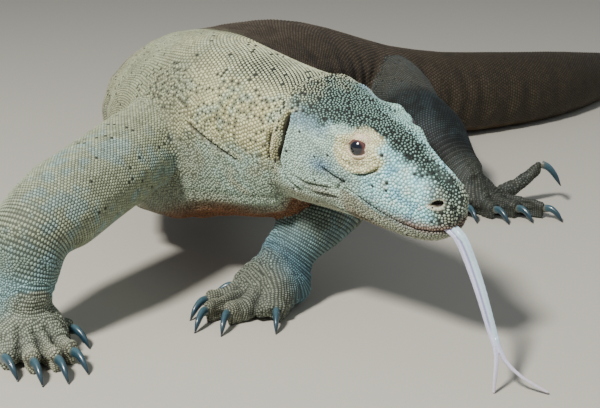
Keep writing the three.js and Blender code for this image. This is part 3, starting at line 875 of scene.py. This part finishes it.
# A finish whose colour is painted on, with fine grain in its surface.
def painted_finish(name, roughness, specular, grain_size, grain_depth, coat=0.0):
    finish = bpy.data.materials.new(name)
    finish.use_nodes = True
    tree = finish.node_tree
    shader = tree.nodes["Principled BSDF"]
    shader.inputs["Specular IOR Level"].default_value = specular
    shader.inputs["Coat Weight"].default_value = coat
    shader.inputs["Coat Roughness"].default_value = 0.08
    colour = tree.nodes.new("ShaderNodeAttribute")
    colour.attribute_name = "tint"
    place = tree.nodes.new("ShaderNodeTexCoord")
    grain = tree.nodes.new("ShaderNodeTexNoise")
    grain.inputs["Scale"].default_value = 1 / grain_size
    grain.inputs["Detail"].default_value = 3
    shade = tree.nodes.new("ShaderNodeMapRange")
    shade.inputs["To Min"].default_value = 0.8
    shade.inputs["To Max"].default_value = 1.2
    mix = tree.nodes.new("ShaderNodeVectorMath")
    mix.operation = "SCALE"
    dull = tree.nodes.new("ShaderNodeMapRange")
    dull.inputs["To Min"].default_value = roughness - 0.1
    dull.inputs["To Max"].default_value = roughness + 0.1
    bump = tree.nodes.new("ShaderNodeBump")
    bump.inputs["Strength"].default_value = 0.5
    bump.inputs["Distance"].default_value = grain_depth
    link = tree.links.new
    link(place.outputs["Object"], grain.inputs["Vector"])
    link(grain.outputs["Fac"], shade.inputs["Value"])
    link(grain.outputs["Fac"], dull.inputs["Value"])
    link(grain.outputs["Fac"], bump.inputs["Height"])
    link(colour.outputs["Color"], mix.inputs[0])
    link(shade.outputs["Result"], mix.inputs["Scale"])
    link(mix.outputs["Vector"], shader.inputs["Base Color"])
    link(dull.outputs["Result"], shader.inputs["Roughness"])
    link(bump.outputs["Normal"], shader.inputs["Normal"])
    return finish


# ---------------------------------------------------------------- hide
# Thin skin that shows as fine lines between the scales; on a museum model it is the painted base coat.
hide = stood("hide", hide_mesh)
h = in_head(points)
lid_edge = gap_to(h, EYES)
far_lid = (h[:, 1] > 0) * step(h[:, 2], 27, 32)
slit = nostril_reach(h)
mouth_line = bell(above_lips(h), 0, 1.0) * step(h[:, 0], -104, -98) * owned_by(owners(points), *HEAD_WORDS)
# The hide carries the markings' gap tone, pale rims round the lids and nostrils, and painted shade: near
# black inside the lid openings and nostrils and along the line where the lips meet.
tinted(hide_mesh, coated(
    markings(points)[1],
    ((1 - step(lid_edge, 11.2, 11.8)) * (1 - far_lid), (226, 196, 176)),
    (1 - step(lid_edge, 9.6, 10.4), (40, 24, 20)),
    (1 - step(slit, 1.3, 1.7), (196, 190, 166)),
    (1 - step(slit, 0.85, 1.1), (26, 17, 14)),
    (0.9 * mouth_line, (44, 32, 28)),
))
hide_mesh.materials.append(painted_finish("hide skin", 0.7, 0.35, 0.9 * MM, 0.15 * MM))
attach(hide, "root")
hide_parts(*flesh_names)

# ---------------------------------------------------------------- where the scales sit
# Round the body and legs they run in staggered rows, as on the real hide; on the head and paws they
# pack freely. Every bare spot left between rows is then filled.
SCATTER_SEED = 11
rng = np.random.default_rng(SCATTER_SEED)
surface = BVHTree.FromObject(hide, bpy.context.evaluated_depsgraph_get())
BODY_RUNS = (0, 60, 180, 260, 360, 600, 1000, 1600, 2150)
BODY_SIZES = (2.3, 2.4, 2.5, 2.8, 4.0, 5.0, 4.9, 4.2, 2.8)
LEG_RUNS = (0, 1, 1.6, 2.2, 3)
ARM_SIZES = (3.5, 3.2, 3.3, 3.1, 2.4)
HIND_SIZES = (4.4, 4.2, 4.0, 3.5, 3.0)


def scale_size(points):
    at = in_head(points)
    numbers = owners(points)
    along, angle = on_body(points)
    round_by = np.abs(angle)
    fore = 1 - step(along, 120, 220)
    size = np.interp(along, BODY_RUNS, BODY_SIZES)
    size = size + fore * (1.6 * (1 - step(round_by, 0.3, 0.9)) + 0.3 * bell(round_by, 1.05, 0.35))
    size = size - 0.3 * fore * step(round_by, 1.3, 1.8)
    for paw in PAWS:
        own = of_leg(numbers, paw)
        down = ARM_SIZES if paw.startswith("hand") else HIND_SIZES
        size[own] = np.interp(down_leg(points[own], paw), LEG_RUNS, down)
    snout = step(at[:, 0], -78, -55)
    cheek = step(-at[:, 0], 95, 115) * (at[:, 2] < 28)
    face = 2.7 + 0.5 * snout * (at[:, 2] > -24) - 0.5 * cheek
    for gap, gaps, most in ((gap_to(at, EYES), (10, 13, 21), (1.35, 1.6, 3.0)),
                            (gap_to(at, NOSTRILS), (3, 10), (1.6, 3.3)),
                            (np.abs(above_lips(at)), (1, 6), (2.1, 3.3))):
        face = np.minimum(face, np.interp(gap, gaps, most))
    return np.where(owned_by(numbers, *HEAD_WORDS), face, size) * MM


# Bare skin: inside the lids and nostrils, where the lips meet, and at the bottom of deep folds.
def bare(points):
    at = in_head(points)
    lips = (at[:, 0] >= -100) & (at[:, 0] <= 1) & owned_by(owners(points), *HEAD_WORDS)
    lips &= np.abs(above_lips(at)) < 0.7
    lids = gap_to(at, EYES) < EYE_RADIUS + 0.7
    return lids | (nostril_reach(at) < 1.15) | lips | (in_fold(points) > 0.55)


RAYS = 60
ROW_SHARE = 0.87


# Staggered rows round a line, as far out as `longest`. Where `flat` is above 0 the scales stand closer in
# their row, and the rows further apart. Every second scale of every second row is marked.
def rows_round(line, run, side, up, starts, longest, flat):
    roots, lies, marks = [], [], []
    sizes = scale_size(line + up * 0.03)
    along = tangents(line)
    at, row = run[0], 0
    turns = np.arange(RAYS) * 2 * math.pi / RAYS
    while at < run[-1]:
        c, s, u, ahead = (read_off(at, run, v) for v in (line, side, up, along))
        size, squash = np.interp(at, run, sizes), np.interp(at, run, flat)
        ways = np.outer(np.sin(turns), s) + np.outer(np.cos(turns), u)
        hits = [surface.ray_cast(Vector(c), Vector(way), longest)[3] for way in ways]
        hits = np.array([np.nan if hit is None else hit for hit in hits])
        known = ~np.isnan(hits)
        if known.sum() > RAYS / 4:
            hits = np.interp(turns, turns[known], hits[known], period=2 * math.pi)
            ring = c + hits[:, None] * ways
            ring = np.vstack([ring, ring[:1]])
            girth = run_of(ring)
            many = max(6, int(round(girth[-1] / size / (1 - squash))))
            spots = (np.arange(many) + 0.5 * (row % 2)) * girth[-1] / many
            roots.append(read_off(spots, girth, ring))
            lies.append(np.tile(ahead, (many, 1)))
            marks.append((np.arange(many) % 2 == 0) & (row % 2 == 0))
        at += size * ROW_SHARE * (1 + 0.7 * squash)
        row += 1
    roots = np.array([surface.find_nearest(Vector(p))[0] for p in np.vstack(roots)])
    keep = owned_by(owners(roots), *starts)
    return roots[keep], np.vstack(lies)[keep], np.concatenate(marks)[keep]


TOES_FROM = 2.5
LEG_SQUASH = 0.3
TOE_SQUASH = 0.2
LEG_ABOVE = (0.1, 0.2, 1)
no_squash = np.zeros(len(body_run))
families = [rows_round(body_line, body_run, body_side, body_up, ("neck", "trunk", "tail"), 150 * MM,
                       no_squash)]
for paw in PAWS:
    hip, knee, ankle, claws = leg_joints[paw]
    palm = 0.4 * ankle + 0.6 * claws + (0, 0, 8 * MM)
    bend = ankle - 13 * MM * unit(unit(knee - ankle) + unit(palm - ankle))
    leg_line, leg_run = line_through([hip, knee, bend, palm], 2 * MM)
    flat = LEG_SQUASH * step(down_leg(leg_line, paw), 1.3, 1.7)
    axes = axes_of(leg_line, LEG_ABOVE)
    rows = rows_round(leg_line, leg_run, *axes, (*PAWS[paw], paw), 75 * MM, flat)
    above = down_leg(rows[0], paw) < TOES_FROM
    families.append([part[above] for part in rows])
    for tip in claw_roots[paw]:
        start = 0.5 * ankle + 0.5 * tip
        start[2] = max(12 * MM, 0.75 * tip[2])
        toe_line, toe_run = line_through([start, tip], 1 * MM)
        flat = np.full(len(toe_run), TOE_SQUASH)
        rows = rows_round(toe_line, toe_run, *axes_of(toe_line, LEG_ABOVE), (paw,), 15 * MM, flat)
        gaps = [gap_to_line(rows[0][:, :2], [ankle[:2], other[:2]]) for other in claw_roots[paw]]
        own = np.linalg.norm(tip - np.array(claw_roots[paw]), axis=1)[np.argmin(gaps, axis=0)] < MM
        own &= down_leg(rows[0], paw) >= TOES_FROM
        families.append([part[own] for part in rows])
roots, lies, marks = (np.concatenate(parts) for parts in zip(*families))
clear = ~bare(roots)
roots, lies, marks = roots[clear], lies[clear], marks[clear]


# Rows that run into one another are thinned where they crowd.
CROWDED = 0.56
sizes = scale_size(roots)
crowd = tree_of(roots)
stands = np.ones(len(roots), bool)
for i in rng.permutation(len(roots)):
    if stands[i]:
        for _, j, _ in crowd.find_range(roots[i], CROWDED * sizes[i]):
            if j != i:
                stands[j] = False
roots, lies, marks = roots[stands], lies[stands], marks[stands]
# Spots scattered evenly over the hide, from which the free scales are chosen. They stand closer on the head
# and paws, whose scales are smaller. A free scale keeps its distance from the rows and from other free ones.
HEAD_SPOT, PAW_SPOT, BODY_SPOT = 0.9, 1.2, 3.5
ROW_CLEAR = 0.82
FREE_CLEAR = 0.8
hide_mesh.calc_loop_triangles()
corner = np.empty(len(hide_mesh.loop_triangles) * 3, np.int32)
hide_mesh.loop_triangles.foreach_get("vertices", corner)
a, b, c = points[corner.reshape(-1, 3)].transpose(1, 0, 2)
area = np.linalg.norm(np.cross(b - a, c - a), axis=1) / 2
tri_owner = owners((a + b + c) / 3)
on_paw = owned_by(tri_owner, *PAW_WORDS)
per_spot = np.where(owned_by(tri_owner, *HEAD_WORDS), HEAD_SPOT, np.where(on_paw, PAW_SPOT, BODY_SPOT))
many = rng.poisson(area / (per_spot * MM * MM))
pick = np.repeat(np.arange(len(area)), many)
r1, r2 = rng.random((2, len(pick)))
r1 = np.sqrt(r1)
spots = (1 - r1)[:, None] * a[pick] + (r1 * (1 - r2))[:, None] * b[pick] + (r1 * r2)[:, None] * c[pick]
spot_size = scale_size(spots)
row_tree = tree_of(roots)
row_gap = np.array([row_tree.find(p)[2] for p in spots])
free = (row_gap > ROW_CLEAR * spot_size) & ~bare(spots) & (spots[:, 2] >= 1.2 * MM)
spots, spot_size = spots[free], spot_size[free]
spot_tree = tree_of(spots)
waiting = np.ones(len(spots), bool)
chosen = []
for i in rng.permutation(len(spots)):
    if waiting[i]:
        chosen.append(i)
        for _, j, _ in spot_tree.find_range(spots[i], FREE_CLEAR * spot_size[i]):
            waiting[j] = False
free_roots = spots[chosen]

# The free scales settle: each moves to the middle of the spots nearest to it.
for _ in range(3):
    settled = tree_of(free_roots)
    nearest = np.array([settled.find(p)[1] for p in spots])
    load = np.maximum(np.bincount(nearest, minlength=len(free_roots)), 1)[:, None]
    total = np.stack([np.bincount(nearest, spots[:, k], len(free_roots)) for k in range(3)], 1)
    moved = np.where(load > 1, total / load, free_roots)
    free_roots = np.array([surface.find_nearest(Vector(p))[0] for p in moved])
head_back = head_turn @ np.array([-1.0, 0, 0])
roots = np.vstack([roots, free_roots])
lies = np.vstack([lies, np.tile(head_back, (len(free_roots), 1))])
marks = np.concatenate([marks, rng.random(len(free_roots)) < 0.25])
sizes = scale_size(roots)
upright = np.array([surface.find_nearest(Vector(p))[1] for p in roots])
standing = roots[:, 2] >= 1.0 * MM
roots, lies, marks, sizes, upright = (v[standing] for v in (roots, lies, marks, sizes, upright))

# ---------------------------------------------------------------- scales
# Hard beads of horn set close in the skin. Each is a small domed plate cut to its neighbours, so it
# takes a six-sided outline where they crowd it; the piece they are joined in is named for its place.
EACH_SIDES = 6
NEIGHBOURS = 8
WIDEST = 0.72
DOT_SHARE = 0.62
near_tree = tree_of(roots)
near_index = np.array([[j for _, j, _ in near_tree.find_n(p, NEIGHBOURS + 1)[1:]] for p in roots])
lengthwise = lies - (lies * upright).sum(1)[:, None] * upright
lengthwise /= np.maximum(np.linalg.norm(lengthwise, axis=1), 1e-9)[:, None]
across = np.cross(upright, lengthwise)
colour, gap_tone, dots, fill, edge = markings(roots)
turns = (np.arange(EACH_SIDES) + 0.5) * 2 * math.pi / EACH_SIDES
ways = (np.cos(turns)[None, :, None] * across[:, None] + np.sin(turns)[None, :, None] * lengthwise[:, None])
apart = roots[near_index] - roots[:, None]
apart -= (apart * upright[:, None]).sum(2)[..., None] * upright[:, None]
lean = np.einsum("nkc,nsc->nks", apart, ways)
half_way = (apart ** 2).sum(2)[..., None] / 2 / np.maximum(lean, 1e-9)
limit = np.where(lean > 1e-9, half_way, 1.0).min(1)
limit = np.minimum(limit, WIDEST * sizes[:, None])
owner = owners(roots)
at = in_head(roots)
along, angle = on_body(roots)
on_head = owned_by(owner, *HEAD_WORDS)
dark = rng.random(len(roots)) < np.where(marks, dots, 0.1 * dots)
spread = limit * np.where(dark & ~on_head, DOT_SHARE, fill)[:, None]
# Round the wrists and ankles the rows are parted by deeper furrows than the scales in them.
for paw in PAWS:
    own = of_leg(owner, paw)
    share = down_leg(roots[own], paw)
    ringed = step(share, 1.4, 1.8) * (1 - 0.7 * step(share, 2.05, 2.35))
    spread[own] *= 1 - 0.22 * ringed[:, None] * np.abs(np.sin(turns))[None]
tone = colour * (1 + 0.15 * rng.standard_normal(len(roots)))[:, None]
tone[dark] = paint(40, 44, 40) * (1 + 0.6 * rng.random(dark.sum()))[:, None]
# Each bead's rim is laid part way to the dark skin between beads: partly that skin's own colour, partly
# painted shade on the bead's sides.
rim_tone_and_shade = np.where(dark[:, None], tone, lay(tone, edge, gap_tone))
# Beads stand highest on the crown and snout, and lie flatter round the eyes.
stand_out = 0.7 * bell(at[:, 2], 42, 20) + 0.5 * step(at[:, 0], -80, -60) - 0.35 * patch_share(at)
height = (0.31 * spread.mean(1) + 0.12 * MM) * (1 + on_head * stand_out)
height *= 1 + 0.5 * (1 - step(np.abs(angle), 0.4, 0.9)) * (along < 160) * ~on_head


def ring_of(chosen, share, rise):
    out = ways[chosen] * (spread[chosen] * share)[..., None]
    return roots[chosen][:, None] + out + (upright[chosen] * rise[:, None])[:, None]


# One joined piece of scales. Where it is `full`, each has a shoulder below its dome; the others are plain
# domes.
SHOULDER_SHARE = 0.78
SHOULDER_RISE = 0.66
ROOT_DEPTH = 0.3 * MM


def scale_piece(name, chosen, full, unwrap):
    chosen = np.flatnonzero(chosen)
    count = len(chosen)
    top = height[chosen]
    layers = [(roots[chosen] + upright[chosen] * top[:, None])[:, None]]
    if full:
        layers.append(ring_of(chosen, SHOULDER_SHARE, top * SHOULDER_RISE))
    layers.append(ring_of(chosen, 1.0, np.full(count, -ROOT_DEPTH)))
    body = np.concatenate(layers, 1)
    body[..., 2] = np.maximum(body[..., 2], 0)
    k = np.arange(EACH_SIDES)
    following = (k + 1) % EACH_SIDES
    shape = [np.stack([np.zeros(EACH_SIDES, int), 1 + k, 1 + following], 1)]
    if full:
        outer = 1 + EACH_SIDES
        shape.append(np.stack([1 + k, outer + k, outer + following], 1))
        shape.append(np.stack([1 + k, outer + following, 1 + following], 1))
    first = np.arange(count) * body.shape[1]
    triangles = (np.vstack(shape)[None] + first[:, None, None]).reshape(-1, 3)
    mesh = bpy.data.meshes.new(name)
    mesh.vertices.add(count * body.shape[1])
    mesh.vertices.foreach_set("co", body.ravel())
    mesh.loops.add(len(triangles) * 3)
    mesh.loops.foreach_set("vertex_index", triangles.ravel().astype(np.int32))
    mesh.polygons.add(len(triangles))
    mesh.polygons.foreach_set("loop_start", np.arange(len(triangles), dtype=np.int32) * 3)
    mesh.update(calc_edges=True)
    mesh.validate()
    mesh.shade_smooth()
    crown_tone = tone[chosen][:, None]
    tones = [crown_tone, np.repeat(rim_tone_and_shade[chosen][:, None], EACH_SIDES, 1)]
    if full:
        tones.insert(1, np.repeat(crown_tone * 0.97, EACH_SIDES, 1))
    tinted(mesh, np.concatenate(tones, 1).reshape(-1, 3))
    # Each scale's patch of the unwrapped hide, at its own root.
    flat = unwrap(chosen)
    low, high = flat.min(0), flat.max(0)
    flat = 0.02 + 0.96 * (flat - low) / (high - low)
    star = 0.0015 * np.stack([np.cos(turns), np.sin(turns)], 1)
    patch = np.vstack([[[0, 0]]] + ([star * 0.7] if full else []) + [star])
    uv = (flat[:, None] + patch[None]).reshape(-1, 2)[triangles.ravel()]
    layer = mesh.uv_layers.new(name="OFBake")
    layer.data.foreach_set("uv", uv.ravel().astype(np.float32))
    piece = stood(name, mesh)
    mesh.materials.append(scale_finish)
    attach(piece, "root")


def unwrap_head(chosen):
    p = at[chosen]
    return np.stack([p[:, 0], np.arctan2(p[:, 1], p[:, 2] + 8)], 1)


def unwrap_body(chosen):
    return np.stack([along[chosen], angle[chosen]], 1)


def unwrap_leg(paw):
    def unwrap(chosen):
        share = down_leg(roots[chosen], paw)
        joints = np.array(leg_joints[paw])
        i = np.minimum(share.astype(int), 2)
        middle = joints[i] + (share - i)[:, None] * (joints[i + 1] - joints[i])
        ahead = unit(joints[i + 1] - joints[i])
        side = np.cross(ahead, LEG_ABOVE)
        out = roots[chosen] - middle
        return np.stack([share, np.arctan2((out * side).sum(1), (out * np.cross(side, ahead)).sum(1))], 1)

    return unwrap


scale_finish = painted_finish("scale horn", 0.52, 0.36, 1.1 * MM, 0.06 * MM)
scale_piece("scales_head_right", on_head & (at[:, 1] < 0), True, unwrap_head)
scale_piece("scales_head_left", on_head & (at[:, 1] >= 0), True, unwrap_head)
for place, solid in (("neck", "neck"), ("shoulder", "trunk_front")):
    there = owned_by(owner, solid)
    scale_piece(f"scales_{place}_right", there & (angle <= 0), True, unwrap_body)
    scale_piece(f"scales_{place}_left", there & (angle > 0), True, unwrap_body)
scale_piece("scales_trunk", owned_by(owner, "trunk_middle", "trunk_rear"), False, unwrap_body)
scale_piece("scales_tail", owned_by(owner, "tail"), False, unwrap_body)
for paw in PAWS:
    fore = paw.startswith("hand")
    limb = paw.replace("hand", "arm").replace("foot", "leg")
    scale_piece(f"scales_{limb}", owned_by(owner, *PAWS[paw]), fore, unwrap_leg(paw))
    scale_piece(f"scales_{paw}", owned_by(owner, paw), fore, unwrap_leg(paw))

# ---------------------------------------------------------------- eyes
# Glass eyes set behind the lids: a dark ball with a round pupil in a thin red-brown iris, under a wet
# clear front that bulges a little.
EYE_COLOURS = ((0.0, paint(14, 18, 30)), (5.6, paint(18, 24, 38)), (6.2, paint(60, 40, 42)),
               (7.4, paint(106, 70, 66)), (8.2, paint(70, 46, 42)), (9.4, paint(24, 16, 14)))
eye_finish = painted_finish("eye", 0.14, 0.6, 0.8 * MM, 0.0, coat=1.0)
for side, name in ((-1, "right"), (1, "left")):
    ball = bmesh.new()
    bmesh.ops.create_uvsphere(ball, u_segments=64, v_segments=40, radius=1.0)
    mesh = mesh_of(f"eyeball_{name}", ball)
    look = unit(np.array([0.25, 0.93 * side, 0.26]))
    balls = points_of(mesh)
    front = np.degrees(np.arccos(np.clip(balls @ look, -1, 1)))
    away = EYE_RADIUS * np.sin(np.radians(np.minimum(front, 90)))
    rise = EYE_RADIUS + 0.35 * bell(front, 0, 38)
    set_points(mesh, from_head(EYE_PLACE * (1, side, 1) + balls * rise[:, None]))
    mesh.shade_smooth()
    stops, tones = zip(*EYE_COLOURS)
    tinted(mesh, read_off(away, stops, tones))
    mesh.materials.append(eye_finish)
    ball = stood(f"eyeball_{name}", mesh)
    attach(ball, "root")
    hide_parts(f"eye_{name}")

# ---------------------------------------------------------------- claws
# Curved horn sheaths, one to a toe, set against the toe's end. Each follows its solid's own rings, drawn
# finer and rounder, blue-grey with a darker point and a painted highlight along its top.
CLAW_ROUND = 14
CLAW_FINE = 18
CLAW_RINGS = [6, 11, 16]
claw_finish = painted_finish("claw horn", 0.3, 0.55, 2.5 * MM, 0.08 * MM, coat=0.3)
for paw in PAWS:
    for i in range(1, 6):
        name = f"claw_{paw}_{i}"
        solid = welded(name)
        at_claw = np.array([v.co for v in solid.verts])
        solid.free()
        root = claw_roots[paw][i - 1]
        tip = at_claw[np.argmax(np.linalg.norm(at_claw - root, axis=1))]
        order = np.argsort((at_claw - root) @ (tip - root))
        groups = np.split(at_claw[order], CLAW_RINGS)
        centres = [g.mean(0) for g in groups]
        girths = [np.linalg.norm(g - g.mean(0), axis=1).max() for g in groups]
        line, run = line_through(centres + [tip], 0.5 * MM)
        want = np.linspace(0, run[-1], CLAW_FINE)
        line = read_off(want, run, line)
        through = want / run[-1]
        girth = np.interp(want, np.linspace(0, run[-1], len(girths)), girths)
        girth *= (1 + 0.35 * bell(through, 0.72, 0.25)) * (np.clip(1.03 - through, 0.015, 1) / 1.03) ** 0.3
        side, up = axes_of(line)
        turns = np.arange(CLAW_ROUND) * 2 * math.pi / CLAW_ROUND
        ring = np.cos(turns)[None, :, None] * side[:, None] * 0.8 + np.sin(turns)[None, :, None] * up[:, None]
        body = line[:, None] + ring * girth[:, None, None]
        body[..., 2] = np.maximum(body[..., 2], 0.2 * MM)
        corners = np.vstack([body.reshape(-1, 3), [line[0]], [tip]])
        base_point, tip_point = len(corners) - 2, len(corners) - 1
        last = (CLAW_FINE - 1) * CLAW_ROUND
        faces = []
        for k in range(CLAW_ROUND):
            after = (k + 1) % CLAW_ROUND
            for low in range(0, last, CLAW_ROUND):
                high = low + CLAW_ROUND
                faces.append((low + k, low + after, high + after, high + k))
            faces.append((base_point, after, k))
            faces.append((tip_point, last + k, last + after))
        mesh = bpy.data.meshes.new(f"horn_{paw}_{i}")
        mesh.from_pydata(corners.tolist(), [], faces)
        mesh.shade_smooth()
        share = np.concatenate([np.repeat(through, CLAW_ROUND), [0, 1]])
        over = np.concatenate([np.tile(np.sin(turns), CLAW_FINE), [0, 0]])
        tinted(mesh, coated(
            plain(len(corners), 47, 74, 84),
            (step(share, 0.15, 0.6), (32, 54, 66)),
            (step(share, 0.65, 1.0), (24, 28, 30)),
            (1 - step(share, 0.0, 0.16), (104, 100, 84)),
            # A painted highlight along the top of the claw, fading towards the point.
            (0.3 * step(over, 0.5, 1.0) * (1 - share), (108, 138, 150)),
        ))
        mesh.materials.append(claw_finish)
        claw = stood(f"horn_{paw}_{i}", mesh)
        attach(claw, "root")
        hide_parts(name)

# ---------------------------------------------------------------- tongue
# A moist forked tongue, cast in one piece, out of the closed mouth and down to the floor. A darker
# furrow runs along its middle, and its two tines curl apart.
TONGUE_CELL = 0.55 * MM
TONGUE_SWELL = 0.9 * MM
TONGUE_TURN = math.radians(-25)
FORK_HEIGHT = 46 * MM
FURROW_DEPTH = 0.9 * MM
mesh = recast(mesh_of("tongue_block", welded("tongue", TONGUE_SWELL)), TONGUE_CELL)
tongue_points = faired(mesh, np.full(len(mesh.vertices), 12))
levels = tongue_points[:, 2]
marks_at = np.linspace(FORK_HEIGHT, levels.max(), 22)
middles = np.array([tongue_points[np.abs(levels - z) < 3 * MM].mean(0) for z in marks_at])
middle = read_off(levels, marks_at, middles[:, :2])
tongue_across = np.array([math.cos(TONGUE_TURN), math.sin(TONGUE_TURN)])
offset = (tongue_points[:, :2] - middle) @ tongue_across / MM
furrow = bell(offset, 0, 1.0) * step(levels, FORK_HEIGHT, FORK_HEIGHT + 14 * MM)
set_points(mesh, tongue_points)
tongue_points = tongue_points - normals_of(mesh) * (FURROW_DEPTH * furrow)[:, None]
levels = tongue_points[:, 2]
# Its root runs back between the lips.
tongue_head = in_head(tongue_points)
tongue_head[:, 0] -= 8 * step(levels, levels.max() - 9 * MM, levels.max())
tongue_points = from_head(tongue_head)
tongue_points[:, 2] = np.maximum(tongue_points[:, 2], 0.4 * MM)
set_points(mesh, tongue_points)
mesh.shade_smooth()
mesh.materials.clear()
blue_side = step(offset, 0, 1.5) * step(levels, FORK_HEIGHT - 8 * MM, FORK_HEIGHT)
tinted(mesh, coated(
    plain(len(tongue_points), 205, 207, 235),
    (0.7 * blue_side, (176, 208, 214)),
    (0.8 * furrow, (104, 106, 146)),
    (0.6 * (1 - step(levels, 0, FORK_HEIGHT)), (206, 186, 192)),
))
mesh.materials.append(painted_finish("tongue", 0.3, 0.5, 1.5 * MM, 0.05 * MM, coat=0.35))
tongue = stood("tongue_skin", mesh)
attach(tongue, "root")
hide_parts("tongue")

# ---------------------------------------------------------------- studio
# A plain pale floor, a large soft key light high on the camera's left, a weak fill and an even sky.
FLOOR_HALF = 7
floor_mesh = bpy.data.meshes.new("studio_floor")
floor_corners = [(x * FLOOR_HALF, y * FLOOR_HALF, 0) for x, y in ((-1, -1), (1, -1), (1, 1), (-1, 1))]
floor_mesh.from_pydata(floor_corners, [], [(0, 1, 2, 3)])
floor = stood("studio_floor", floor_mesh)
floor_finish = bpy.data.materials.new("studio floor")
floor_finish.use_nodes = True
floor_shader = floor_finish.node_tree.nodes["Principled BSDF"]
floor_shader.inputs["Base Color"].default_value = (0.5, 0.475, 0.41, 1)
floor_shader.inputs["Roughness"].default_value = 0.9
floor_mesh.materials.append(floor_finish)

world = bpy.data.worlds.new("studio sky")
world.use_nodes = True
world.node_tree.nodes["Background"].inputs["Color"].default_value = (0.86, 0.92, 1.0, 1)
world.node_tree.nodes["Background"].inputs["Strength"].default_value = 0.3
bpy.context.scene.world = world


def soft_light(name, azimuth, elevation, distance, size, power, colour):
    lamp = bpy.data.lights.new(name, "AREA")
    lamp.shape = "DISK"
    lamp.size = size
    lamp.energy = power
    lamp.color = colour
    way = Vector((math.sin(azimuth) * math.cos(elevation), -math.cos(azimuth) * math.cos(elevation),
                  math.sin(elevation)))
    light = bpy.data.objects.new(name, lamp)
    light.location = way * distance + Vector((-0.4, -0.4, 0.1))
    light.rotation_euler = way.to_track_quat("Z", "Y").to_euler()
    bpy.context.scene.collection.objects.link(light)


soft_light("key", math.radians(-36), math.radians(47), 3.2, 0.5, 166, (1.0, 0.98, 0.93))
soft_light("fill", math.radians(60), math.radians(35), 3.5, 2.5, 9, (0.85, 0.93, 1.0))

# The camera crouches low in front of the animal, at the height of its shoulders.
CAMERA_FROM_SNOUT = Vector((-0.137, -0.938, 0.290))
CAMERA_DIP = math.radians(17)
lens = bpy.data.cameras.new("view")
lens.sensor_width = 36
lens.lens = 69
camera = bpy.data.objects.new("view", lens)
camera.location = Vector(snout_tip) + CAMERA_FROM_SNOUT
camera.rotation_euler = (math.radians(90) - CAMERA_DIP, 0, 0)
bpy.context.scene.collection.objects.link(camera)
bpy.context.scene.camera = camera
